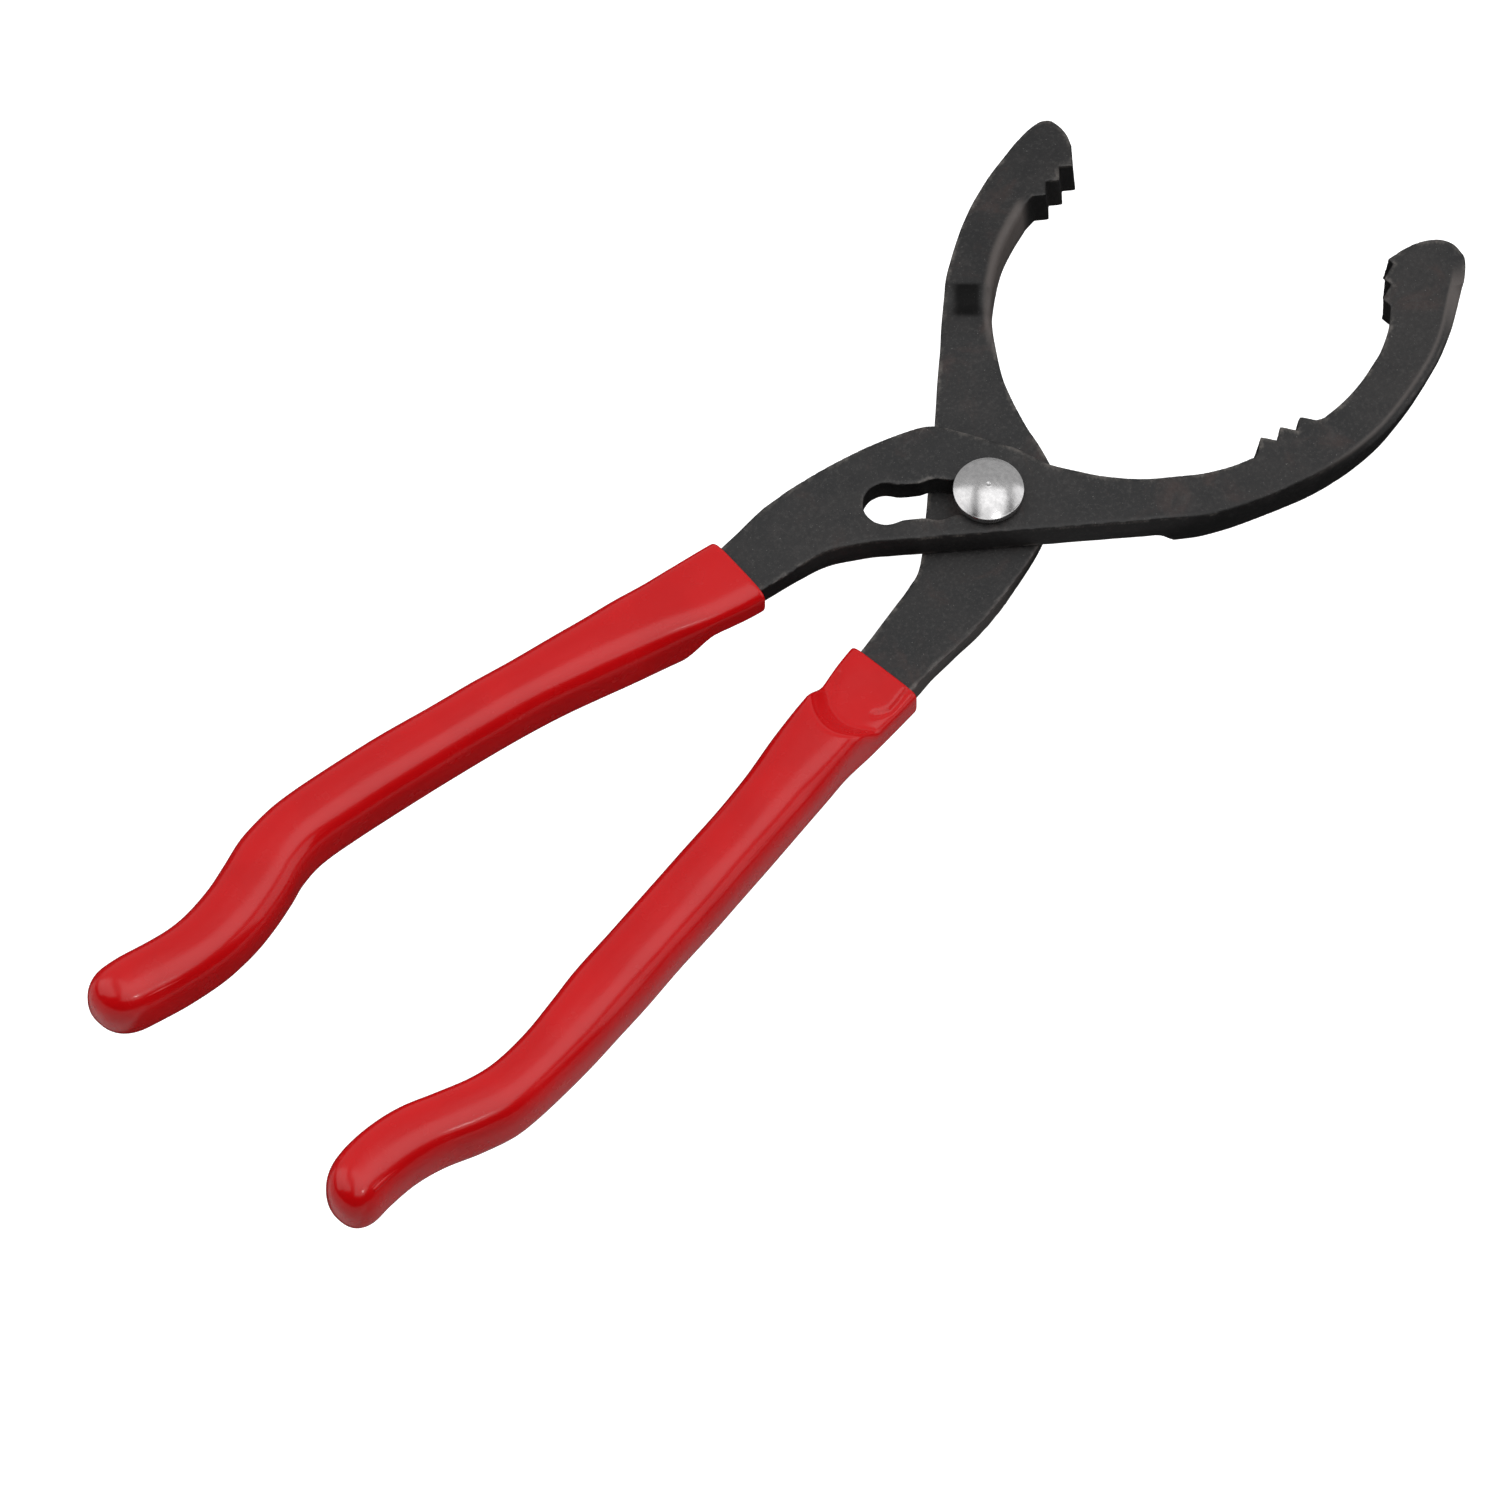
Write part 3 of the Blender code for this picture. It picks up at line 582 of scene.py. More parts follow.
def build_front():
    verts, faces = contour_lever(front_field, front_plan,
                                 [(-200.4, -54.0, 2.4), (-54.0, 114.6, FINE)], (-45.0, 54.0))
    x, y, z = verts.T
    plan = front_plan(x, y)
    top, bottom = z - FULL / 2, front_relief(x, y) - z
    edge = np.maximum(edge_factor(plan["wall"], top, bottom, 0.8),
                      edge_factor(-plan["slot"], top, bottom, 0.45))
    # the bevel mask is the painted highlight; the painted-shade mask is empty here
    return make("front_lever_forged", bend_points(verts, FRONT_ARM, FRONT_BEND_AT), faces,
                "front", "front_lever", "black_steel", sharp=38,
                attributes={"edge": edge, "bevel": plan["rubbed"], "soot": 0.0 * edge})


def build_rear():
    verts, faces = contour_lever(rear_field, rear_plan,
                                 [(-198.8, -48.0, 2.4), (-48.0, 78.4, FINE)], (-31.5, 61.0))
    x, y, z = verts.T
    plan = rear_plan(x, y)
    wall = plan["wall"]
    edge = edge_factor(wall, z - rear_relief(x, y), -FULL / 2 - z, 0.8)
    # painted highlight: the hollow inner wall of the jaw is coloured paler than the faces,
    # standing in for the light it reflects
    rubbed = plan["inner"] * step(wall, -2.2, -0.9) * step(z, -6.2, -3.0)
    rubbed = rubbed * step(x + y, 44.0, 60.0) * plan["off_teeth"]
    # and, less, so is the -y wall between the grip and the pivot
    handle = step(wall, -0.8, -0.2) * step(x, -54.0, -46.0) * (1.0 - step(x, 10.0, 17.0))
    rubbed = np.maximum(rubbed, 0.46 * handle * step(-y, 3.0, 8.0))
    # the last mask is the painted shade of the hollow behind the jaw
    return make("rear_lever_forged", bend_points(verts, REAR_ARM, REAR_BEND_AT), faces,
                "rear", "rear_lever", "black_steel", sharp=38,
                attributes={"edge": edge, "bevel": rubbed, "soot": plan["soot"]})


# -------------------------------------------------------- faces between rings
def ring_faces(pairs, count):
    """Quads between pairs of rings of count points each."""
    return [(a * count + i, a * count + (i + 1) % count,
             b * count + (i + 1) % count, b * count + i)
            for a, b in pairs for i in range(count)]


def add_caps(verts, faces, caps, count):
    """Close rings with a fan about the middle, for each (first vertex, flip)."""
    for start, flip in caps:
        verts.append(tuple(sum(np.array(verts[start + i]) for i in range(count)) / count))
        middle = len(verts) - 1
        for i in range(count):
            triangle = (start + i, start + (i + 1) % count, middle)
            faces.append(triangle[::-1] if flip else triangle)


# ----------------------------------------------------------------------- grips
COAT = 1.5                 # vinyl outside the steel
SKIN = FULL / 2 + COAT
LAP_SKIN = -GAP / 2 + COAT
CAP = 7.6                  # length of the round end
POCKET_POWER = 14          # nearly square section round the steel
POCKET_ROOM = 0.28
LIP = ((-0.02, 0.62), (0.06, 0.40), (0.18, 0.22), (0.36, 0.09), (0.6, 0.02))  # depth, inset


def line_distance(x, y, points):
    """Distance to an open line of points."""
    distances = []
    for (x0, y0), (x1, y1) in zip(points, points[1:]):
        ex, ey = x1 - x0, y1 - y0
        t = np.clip(((x - x0) * ex + (y - y0) * ey) / (ex * ex + ey * ey), 0.0, 1.0)
        distances.append(np.hypot(x - x0 - ex * t, y - y0 - ey * t))
    return np.minimum.reduce(distances)


def grip_stations(mouth, end):
    """Places of the outer rings: close by the mouth, wider apart, then round the end."""
    fine = 0.42
    coarse = 0.8
    xs = list(mouth - 0.9 - fine * np.arange(int(25.0 / fine)))
    count = int((xs[-1] - coarse - end - CAP) / coarse)
    xs += list(np.linspace(xs[-1] - coarse, end + CAP, count))
    xs += [end + CAP * (1.0 - math.sin(t)) for t in np.linspace(0.0, 0.5 * math.pi, 25)[1:-1]]
    return xs + [end + 0.004]


def build_grip(name, body, node, stations, *, mouth, end, core_end, ramp, foot, bow, side,
               tilt, mouth_powers, dents, seed):
    """Dipped sleeve: a soft rounded section lofted along the handle, with a square mouth,
    a step over the half-lap, a round end and a pocket for the steel.

    side is the z sign of the relieved face; foot is -x where the step over the lap starts,
    bowed by bow; tilt skews the mouth; dents are (line, depth, width) in x and offset.
    """
    count = 168
    angle = 2 * math.pi * (np.arange(count) + 0.5) / count
    cos, sin = np.cos(angle), np.sin(angle)
    lump = waves(seed, 20, 12.0, 55.0)

    def section(power):
        """Superellipse of unit half sizes."""
        radius = (np.abs(cos) ** power + np.abs(sin) ** power) ** (-1.0 / power)
        return radius * cos, radius * sin

    def heights(full, near):
        """Top and bottom, from the distances of the full and the relieved face."""
        return (full, -near) if side < 0 else (near, -full)

    def lean(x, u):
        return x + tilt * u * (1.0 - step(mouth - x, 0.0, 14.0))

    def skin(x, inset):
        centre = float(hermite(x, stations, CENTRE))
        half = float(hermite(x, stations, VINYL))
        past = min(1.0, max(0.0, (end + CAP - x) / CAP))
        wide = max(0.0, 1.0 - past ** 2.35) ** (1 / 2.35)
        tall = max(0.0, 1.0 - past ** 2.6) ** (1 / 2.6)
        settle = float(step(mouth - x, 4.0, 34.0))
        round_end = float(step(end + 16.0 - x, 0.0, 16.0))
        # squarer at the mouth, softer along the handle, nearly round at the end
        power = np.where(sin > 0, *mouth_powers)
        power = power + (3.05 - power) * settle
        power = power + (2.5 - power) * round_end
        u, w = section(power)
        off = (half - inset) * wide * u
        start = foot - bow * np.minimum(off * off, 50.0)
        near = LAP_SKIN + (SKIN - LAP_SKIN) * step(-x, start, start + 7.0)
        mean = LAP_SKIN + (SKIN - LAP_SKIN) * float(step(-x, foot - 2.0, foot + 9.0))
        middle = 0.5 * (mean - SKIN) * side
        top, bottom = heights(SKIN, near)
        z = np.where(w > 0, (top - inset - middle) * w, (middle - bottom - inset) * w)
        z = z * tall + middle
        for line, depth, width in dents:
            distance = line_distance(x, off, line)
            z = z - np.where(sin > 0.25, depth * np.exp(-(distance / width) ** 2), 0.0)
        y = centre + off
        soft = 0.055 * min(1.0, (mouth - x) / 6.0) * lump(x, y, z)
        return np.stack([lean(x, u), y + soft * u * wide, z + soft * w * tall], 1)

    def pocket(x, room):
        centre = float(hermite(max(x, core_end), stations, CENTRE))
        half = float(hermite(max(x, core_end), stations, STEEL)) + room
        full = float(step(-x - 1.0, -ramp[0], -ramp[1]))
        near = -GAP / 2 + room + (FULL / 2 + GAP / 2) * full
        top, bottom = heights(FULL / 2 + room, near)
        u, w = section(POCKET_POWER)
        z = 0.5 * (top + bottom) + 0.5 * (top - bottom) * w
        return np.stack([lean(x, u), centre + half * u, z], 1)

    rings = [skin(mouth - 0.02, LIP[0][1])]
    rings += [skin(mouth - depth, inset) for depth, inset in LIP[1:]]
    rings += [skin(float(x), 0.0) for x in grip_stations(mouth, end)]
    inner = [mouth, mouth - 1.5, mouth - 3.0, mouth - 8.0]
    inner += list(np.linspace(ramp[0] + 3.0, ramp[1] - 3.0, 9))
    inner += list(np.linspace(ramp[1] - 6.0, core_end, 34))
    rooms = [0.08, 0.10, 0.24] + [POCKET_ROOM] * (len(inner) - 3)
    rings = rings[::-1] + [pocket(x, room) for x, room in zip(inner, rooms)]
    rings.append(pocket(core_end - 0.3, POCKET_ROOM))
    verts = [tuple(p) for ring in rings for p in ring]
    last = len(rings) - 1
    faces = ring_faces([(k, k + 1) for k in range(last)], count)
    add_caps(verts, faces, [(0, True), (last * count, False)], count)
    return make(name, verts, faces, body, node, "red_vinyl", sharp=42)


def build_front_grip():
    return build_grip("front_grip_dipped", "front", "front_grip", FRONT_HANDLE,
                      mouth=-47.0, end=-206.2, core_end=FRONT_CORE_END, ramp=FRONT_RAMP,
                      foot=58.8, bow=0.0, side=-1.0, tilt=0.8, mouth_powers=(4.4, 3.8),
                      dents=[], seed=23)


def build_rear_grip():
    groove = [(-41.6, -6.45), (-45.0, -6.65), (-47.3, -6.6), (-48.7, -5.8), (-50.0, -4.6)]
    heel = [(-48.0, 7.0), (-51.0, 6.2), (-52.8, 5.0)]
    return build_grip("rear_grip_dipped", "rear", "rear_grip", REAR_HANDLE,
                      mouth=-41.0, end=-204.3, core_end=REAR_CORE_END, ramp=REAR_RAMP,
                      foot=55.0, bow=0.070, side=1.0, tilt=-0.5, mouth_powers=(7.0, 4.4),
                      dents=[(groove, 0.46, 0.55), (heel, 0.24, 0.8)], seed=29)


# -------------------------------------------------------------------- hardware
SIDES = 144                         # points round the bolt and the nut
HEAD_R, HEAD_RIM, HEAD_DOME = 7.15, 1.9, 2.1
HEAD_SEAT = LAP + GAP
DOME_TOP = HEAD_SEAT + HEAD_RIM + HEAD_DOME - 0.02
DOME_BALL = 13.3                    # radius of the dome's sphere
MARK_R = 0.72                       # the lathe's centre mark
RIM_ROUND, RIM_DROP = 0.22, 0.26    # width and height scale of the rim's rounding
RIM_START = math.radians(31.0)
RIM_SWEEP = 0.485                   # 1 - sin(RIM_START)
UNDERSIDE_ROUND = 0.85

FLAT_TOP = -(LAP + GAP)
FLAT_LOW = FLAT_TOP - 0.7
LOCK_TOP = FLAT_LOW - GAP
LOCK_LOW = LOCK_TOP - 1.2
NUT_TOP = LOCK_LOW - GAP
NUT_LOW = NUT_TOP - 3.5
NUT_FLAT_R, NUT_SHOULDER, NUT_BORE = 6.5, 1.0, 3.98
NUT_CORNER_R = NUT_FLAT_R / math.cos(math.radians(30))
WASHER_BORE = 4.1
THREAD_R, THREAD_DEPTH, THREAD_PITCH = 3.72, 0.48, 1.25

# Centre mark: radius, depth below the dome
MARK = [(0.10, 0.10), (0.22, 0.09), (0.34, 0.05), (0.42, 0.01), (0.50, -0.012),
        (0.60, -0.012), (MARK_R, 0.0)]
# End of the tail: radius, depth below the nut
TAIL = [(2.62, 0.02), (2.45, 0.25), (2.45, 1.65), (2.36, 1.9), (2.12, 2.08), (1.7, 2.1),
        (0.8, 2.09), (0.25, 2.085)]


def turned_row(radius_at, z):
    """One ring of (radius, angle, z) about the pivot axis."""
    angles = [2 * math.pi * i / SIDES for i in range(SIDES)]
    return [(radius_at(angle), angle, z) for angle in angles]


def circle(radius, z):
    return turned_row(lambda angle: radius, z)


def row_verts(rows):
    return [(r * math.cos(a), r * math.sin(a), z) for row in rows for r, a, z in row]


def head_rows():
    """Shallow dome with a centre mark, a crisp rim and a rounded underside."""
    def dome(radius):
        return DOME_BALL - math.sqrt(DOME_BALL**2 - radius**2)

    rows = [circle(radius, DOME_TOP - dip - dome(radius)) for radius, dip in MARK]
    rim_r = HEAD_R - RIM_ROUND
    for k in range(1, 40):
        radius = MARK_R + (rim_r - MARK_R) * k / 39
        rows.append(circle(radius, DOME_TOP - dome(radius)))
    edge = DOME_TOP - dome(rim_r)
    for k in range(1, 8):
        t = math.radians(31.0 + 59.0 * k / 7)
        rows.append(circle(rim_r + RIM_ROUND * (math.sin(t) - math.sin(RIM_START)) / RIM_SWEEP,
                           edge - RIM_DROP * (math.cos(RIM_START) - math.cos(t))))
    wall_top = edge - RIM_DROP * math.cos(RIM_START)
    wall_low = HEAD_SEAT + UNDERSIDE_ROUND
    for k in range(1, 4):
        rows.append(circle(HEAD_R, wall_top - (wall_top - wall_low) * k / 3))
    for k in range(1, 9):
        t = math.radians(90.0 * k / 8)
        rows.append(circle(HEAD_R - 1.25 * (1.0 - math.cos(t)),
                           wall_low - UNDERSIDE_ROUND * math.sin(t)))
    return rows + [circle(5.6, HEAD_SEAT)]


def flatted_row(extra, z):
    """A ring of the shank, with its two flats along the slot."""
    def radius_at(angle):
        across = abs(math.sin(angle - math.radians(SLOT_AXIS_DEG)))
        radius = SHANK_R + extra
        if across > 1e-9:
            radius = min(radius, (SHANK_FLAT_HALF + extra) / across)
        return radius
    return turned_row(radius_at, z)


def shank_rows():
    top = HEAD_SEAT - 0.2
    rows = [flatted_row(0.18, HEAD_SEAT), flatted_row(0.04, HEAD_SEAT - 0.06),
            flatted_row(0.0, top)]
    rows += [flatted_row(0.0, top - 11.85 * k / 8) for k in range(1, 9)]
    return rows + [flatted_row(-0.2, -LAP - 0.25), circle(3.7, -LAP - 0.3)]


def thread_rows(low, high):
    """Rows of a V thread on a shaft, from the top down, with run-outs at both ends."""
    per_turn = 10
    total = int((high - low) / THREAD_PITCH * per_turn)
    rows = []
    for k in range(total + 1):
        z = high - (high - low) * k / total
        fade = max(0.0, min(1.0, (high - z) / 0.5, (z - low) / 0.7))
        taper = 0.25 * (1.0 - min(1.0, (z - low) / 0.5))
        row = []
        for i in range(SIDES):
            phase = (z / THREAD_PITCH + i / SIDES) % 1.0
            groove = min(1.0, max(0.0, (abs(2.0 * phase - 1.0) - 0.12) / 0.76))
            row.append((THREAD_R - THREAD_DEPTH * groove * fade - taper,
                        2 * math.pi * i / SIDES, z))
        rows.append(row)
    return rows


def build_bolt():
    """Domed head, flatted shank and threaded tail, from the top down."""
    rows = head_rows() + shank_rows() + thread_rows(NUT_LOW + 0.15, -LAP - 0.35)
    rows += [circle(radius, NUT_LOW - depth) for radius, depth in TAIL]
    verts = row_verts(rows)
    last = len(rows) - 1
    faces = ring_faces([(k + 1, k) for k in range(last)], SIDES)
    add_caps(verts, faces, [(0, False), (last * SIDES, True)], SIDES)
    return make("pivot_bolt_turned", verts, faces,
                "rear", "pivot_bolt", "polished_steel", sharp=38)


def closed_lathe(profile, gap_deg=0.0, lift=0.0):
    """Turn a closed (radius, z) profile about the pivot axis. A gap leaves a split ring
    with skewed ends, and lift is the rise from one end to the other."""
    count = 96
    size = len(profile)
    turns = count + 1 if gap_deg else count
    span = 2 * math.pi - math.radians(gap_deg)
    verts, faces = [], []
    for i in range(turns):
        t = i / count
        angle = span * t + math.radians(gap_deg) / 2
        for radius, z in profile:
            skew = 0.0
            if gap_deg:
                from_middle = min(1.0, abs(t - 0.5) * 2)
                skew = math.radians(4.0) * (z - profile[0][1]) * from_middle ** 6
            verts.append((radius * math.cos(angle + skew), radius * math.sin(angle + skew),
                          z + lift * (t - 0.5)))
    for i in range(count):
        j = (i + 1) % turns
        for k in range(size):
            k2 = (k + 1) % size
            faces.append((i * size + k, j * size + k, j * size + k2, i * size + k2))
    if gap_deg:
        faces.append(tuple(range(size)))
        faces.append(tuple(reversed(range((turns - 1) * size, turns * size))))
    return verts, faces


def build_flat_washer():
    top, low, outer, inner, edge = FLAT_TOP, FLAT_LOW, 6.2, WASHER_BORE, 0.16
    profile = [(inner, low + edge), (inner + edge, low), (outer - edge * 1.6, low),
               (outer - 0.05, low + edge * 0.8), (outer, low + edge * 1.6),
               (outer, top - edge * 1.6), (outer - 0.05, top - edge * 0.8),
               (outer - edge * 1.6, top), (inner + edge, top), (inner, top - edge)]
    return make("flat_washer_pressed", *closed_lathe(profile),
                "carriage", "flat_washer", "dark_hardware", sharp=30)


def build_lock_washer():
    top, low, outer, inner, edge = LOCK_TOP, LOCK_LOW, 5.9, WASHER_BORE, 0.14
    profile = [(inner, low + edge), (inner + edge, low), (outer - edge, low),
               (outer, low + edge), (outer, top - edge), (outer - edge, top),
               (inner + edge, top), (inner, top - edge)]
    return make("lock_washer_split", *closed_lathe(profile, gap_deg=9.0, lift=0.12),
                "rear", "lock_washer", "dark_hardware", sharp=30)


def hexagon_row(limit, z):
    """A ring of the hexagon, turned down to the limit at its corners."""
    def radius_at(angle):
        off = (angle + math.radians(30)) % math.radians(60) - math.radians(30)
        return min(NUT_FLAT_R / math.cos(off), limit)
    return turned_row(radius_at, z)


def nut_side(shoulder, parts):
    middle = (NUT_TOP + NUT_LOW) / 2
    return [hexagon_row(NUT_CORNER_R - 0.05, middle + (shoulder - middle) * t) for t in parts]


def nut_chamfer(face, shoulder, parts):
    """Rings of the 30 degree chamfer cone between the shoulder and the face."""
    rows = []
    for t in parts:
        z = shoulder + (face - shoulder) * t
        limit = NUT_FLAT_R + abs(z - face) / math.tan(math.radians(30)) - 0.02
        rows.append(hexagon_row(limit, z))
    return rows


def build_nut():
    """Hexagon nut with a plain bore and turned corners on both faces."""
    low_shoulder, top_shoulder = NUT_LOW + NUT_SHOULDER, NUT_TOP - NUT_SHOULDER
    chamfer = (0.2, 0.4, 0.6, 0.8, 1.0)
    # from the middle of the outer side over the low face, through the bore, to the top
    rows = nut_side(low_shoulder, (0.0, 0.35, 0.7, 1.0))
    rows += nut_chamfer(NUT_LOW, low_shoulder, chamfer)
    rows.append(hexagon_row(NUT_FLAT_R - 0.25, NUT_LOW))
    rows += [circle(4.55, NUT_LOW), circle(4.3, NUT_LOW + 0.12),
             circle(NUT_BORE, NUT_LOW + 0.45)]
    rows += [circle(NUT_BORE, NUT_LOW + 0.5 + (NUT_TOP - NUT_LOW - 1.0) * k / 20)
             for k in range(21)]
    rows += [circle(4.3, NUT_TOP - 0.12), circle(4.55, NUT_TOP)]
    rows.append(hexagon_row(NUT_FLAT_R - 0.25, NUT_TOP))
    rows += nut_chamfer(NUT_TOP, top_shoulder, chamfer[::-1])
    rows += nut_side(top_shoulder, (1.0, 0.7, 0.35))
    count = len(rows)
    faces = ring_faces([((k + 1) % count, k) for k in range(count)], SIDES)
    return make("pivot_nut_hex", row_verts(rows), faces,
                "rear", "pivot_nut", "dark_hardware", sharp=25)


# ------------------------------------------------------------------- materials
class Nodes:
    """A material under construction, with short ways to add nodes in object space."""

    def __init__(self, name):
        self.material = bpy.data.materials.new(name)
        self.material.use_nodes = True
        self.tree = self.material.node_tree
        self.bsdf = self.tree.nodes["Principled BSDF"]
        self.coord = self.new("ShaderNodeTexCoord").outputs["Object"]

    def new(self, kind, inputs=None, **props):
        node = self.tree.nodes.new(kind)
        for key, value in props.items():
            setattr(node, key, value)
        for key, value in (inputs or {}).items():
            self.set(node.inputs[key], value)
        return node

    def set(self, socket, value):
        if isinstance(value, bpy.types.NodeSocket):
            self.tree.links.new(value, socket)
        else:
            socket.default_value = value

    def noise(self, scale, detail=3.0, rough=0.5, stretch=None, distortion=0.0):
        vector = self.coord
        if stretch:
            vector = self.new("ShaderNodeMapping",
                              {"Vector": vector, "Scale": stretch}).outputs[0]
        return self.new("ShaderNodeTexNoise", {
            "Vector": vector, "Scale": scale, "Detail": detail, "Roughness": rough,
            "Distortion": distortion}).outputs["Fac"]

    def band(self, value, low, high, to_low=0.0, to_high=1.0):
        """A smooth step of value between low and high; low may be the larger."""
        return self.new("ShaderNodeMapRange", {
            "Value": value, "From Min": low, "From Max": high, "To Min": to_low,
            "To Max": to_high}, interpolation_type="SMOOTHSTEP").outputs[0]

    def math(self, operation, a, b=0.0):
        return self.new("ShaderNodeMath", {0: a, 1: b}, operation=operation).outputs[0]

    def mix(self, factor, a, b):
        """Colour mix; its colour sockets are inputs 6 and 7 and output 2."""
        a, b = ((*c, 1.0) if isinstance(c, tuple) else c for c in (a, b))
        return self.new("ShaderNodeMix", {"Factor": factor, 6: a, 7: b},
                        data_type="RGBA").outputs[2]

    def tint(self, base, value, low, high, colour, most=1.0):
        """Colour laid over base, up to most, as value goes from low to high."""
        return self.mix(self.band(value, low, high, 0.0, most), base, colour)

    def bump(self, height, strength, distance, normal=None):
        inputs = {"Height": height, "Strength": strength, "Distance": distance}
        if normal is not None:
            inputs["Normal"] = normal
        return self.new("ShaderNodeBump", inputs).outputs[0]

    def upness(self):
        """How far the surface faces up or down: 1 on flat faces, 0 on walls."""
        normal = self.new("ShaderNodeNewGeometry").outputs["True Normal"]
        split = self.new("ShaderNodeSeparateXYZ", {"Vector": normal})
        return self.math("ABSOLUTE", split.outputs["Z"])

    def attribute(self, name):
        return self.new("ShaderNodeAttribute", attribute_name=name).outputs["Fac"]

    def finish(self, **inputs):
        """Set the surface's inputs, with _ for each space in a name."""
        for key, value in inputs.items():
            self.set(self.bsdf.inputs[key.replace("_", " ")], value)
        return self.material


def black_oxide():
    """Forged steel under a satin black oxide: mottled, grainy, bright where worn, with painted
    highlight and painted shade.
    """
    mat = Nodes("black_oxide_forged")
    cloud = mat.noise(scale=48.0, detail=4.0, rough=0.62, distortion=0.5)
    patch = mat.noise(scale=170.0, detail=4.0, rough=0.68)
    rust = mat.noise(scale=95.0, detail=5.0, rough=0.66, distortion=0.6)
    grain = mat.noise(scale=1250.0, detail=3.0, rough=0.72)
    fleck = mat.noise(scale=2300.0, detail=2.0, rough=0.6)
    base = (0.0104, 0.0106, 0.0112)
    for value, low, high, most, colour in (
            (cloud, 0.34, 0.68, 1.0, (0.0212, 0.0197, 0.0194)),
            (rust, 0.52, 0.72, 0.70, (0.042, 0.026, 0.023)),
            (patch, 0.54, 0.72, 0.45, (0.042, 0.037, 0.036)),
            (patch, 0.46, 0.30, 0.45, (0.007, 0.007, 0.008)),
            (grain, 0.50, 0.70, 0.55, (0.044, 0.042, 0.041)),
            (grain, 0.50, 0.30, 0.45, (0.008, 0.008, 0.009)),
            (fleck, 0.67, 0.76, 0.70, (0.15, 0.145, 0.14))):
        base = mat.tint(base, value, low, high, colour, most)
    # painted shade: upright walls are coloured darker than the flat faces, standing in for the
    # shade they get
    wall_shade = mat.band(mat.upness(), low=0.35, high=0.9, to_low=0.62, to_high=0.0)
    base = mat.mix(wall_shade, base, (0.0055, 0.0052, 0.0052))
    wear = mat.band(mat.noise(scale=190.0, detail=5.0, rough=0.7), low=0.44, high=0.66)
    worn = mat.math("MULTIPLY", mat.attribute("edge"), wear)
    # painted shade: this mask turns the colour near black in the hollow behind the rear jaw
    soot = mat.attribute("soot")
    # worn edges are wear; the bevel mask is painted highlight, a paler colour standing in for
    # light on the ridges and walls
    for mask, share, colour in (
            (worn, 0.8, (0.13, 0.118, 0.108)),
            (mat.attribute("bevel"), 0.85, (0.105, 0.090, 0.084)),
            (soot, 0.92, (0.0035, 0.0035, 0.0035))):
        base = mat.mix(mat.math("MULTIPLY", mask, share), base, colour)
    rough = mat.band(cloud, low=0.3, high=0.7, to_low=0.42, to_high=0.52)
    rough = mat.math("SUBTRACT", rough, mat.math("MULTIPLY", worn, 0.10))
    pits = mat.bump(mat.noise(scale=850.0, detail=4.0, rough=0.68),
                    strength=0.45, distance=0.00013)
    skin = mat.bump(mat.noise(scale=230.0, detail=3.0, rough=0.5),
                    strength=0.30, distance=0.00035, normal=pits)
    # where the shade is painted, the gloss is taken away too
    gloss = mat.band(soot, low=0.0, high=1.0, to_low=0.34, to_high=0.05)
    return mat.finish(Base_Color=base, Roughness=rough, Metallic=0.0, Normal=skin, IOR=1.55,
                      Specular_IOR_Level=gloss)


def red_vinyl():
    """Dipped vinyl: a deep saturated red with a soft gloss and a faint orange-peel."""
    mat = Nodes("red_dipped_vinyl")
    cloud = mat.noise(scale=60.0, detail=3.0, rough=0.5)
    base = mat.tint((0.555, 0.0016, 0.0032), cloud, low=0.35, high=0.65,
                    colour=(0.60, 0.0026, 0.0044))
    dust = mat.noise(scale=1900.0, detail=2.0, rough=0.6)
    base = mat.tint(base, dust, low=0.68, high=0.8, most=0.3, colour=(0.43, 0.002, 0.004))
    peel = mat.bump(mat.noise(scale=520.0, detail=2.0, rough=0.5),
                    strength=0.08, distance=0.00018)
    sag = mat.bump(mat.noise(scale=110.0, detail=2.0, rough=0.5),
                   strength=0.10, distance=0.0005, normal=peel)
    rough = mat.band(mat.noise(scale=150.0, detail=3.0, rough=0.6),
                     low=0.35, high=0.7, to_low=0.22, to_high=0.29)
    return mat.finish(Base_Color=base, Roughness=rough, Normal=sag, IOR=1.48,
                      Coat_Weight=0.42, Coat_Roughness=0.16, Coat_IOR=1.5,
                      Specular_IOR_Level=0.18)


def polished_nickel():
    """Bright plating with drawn-out noise, hairline scratches and fine pits."""
    mat = Nodes("polished_nickel")
    fine = mat.noise(scale=900.0, detail=3.0, rough=0.6, stretch=(1.0, 1.0, 0.15))
    scratch = mat.noise(scale=420.0, detail=4.0, rough=0.7, stretch=(6.0, 0.6, 1.0))
    base = mat.tint((0.46, 0.455, 0.457), fine, low=0.35, high=0.7,
                    colour=(0.55, 0.543, 0.543))
    pit = mat.noise(scale=2100.0, detail=2.0, rough=0.5)
    base = mat.tint(base, pit, low=0.66, high=0.78, most=0.4, colour=(0.22, 0.21, 0.20))
    haze = mat.noise(scale=620.0, detail=4.0, rough=0.7, distortion=0.4)
    base = mat.tint(base, haze, low=0.48, high=0.70, most=0.25, colour=(0.34, 0.335, 0.33))
    rough = mat.band(scratch, low=0.4, high=0.7, to_low=0.21, to_high=0.29)
    dimple = mat.noise(scale=330.0, detail=3.0, rough=0.6)
    lines = mat.bump(scratch, strength=0.02, distance=0.00005)
    skin = mat.bump(dimple, strength=0.08, distance=0.00016, normal=lines)
    return mat.finish(Base_Color=base, Roughness=rough, Metallic=1.0, Normal=skin)


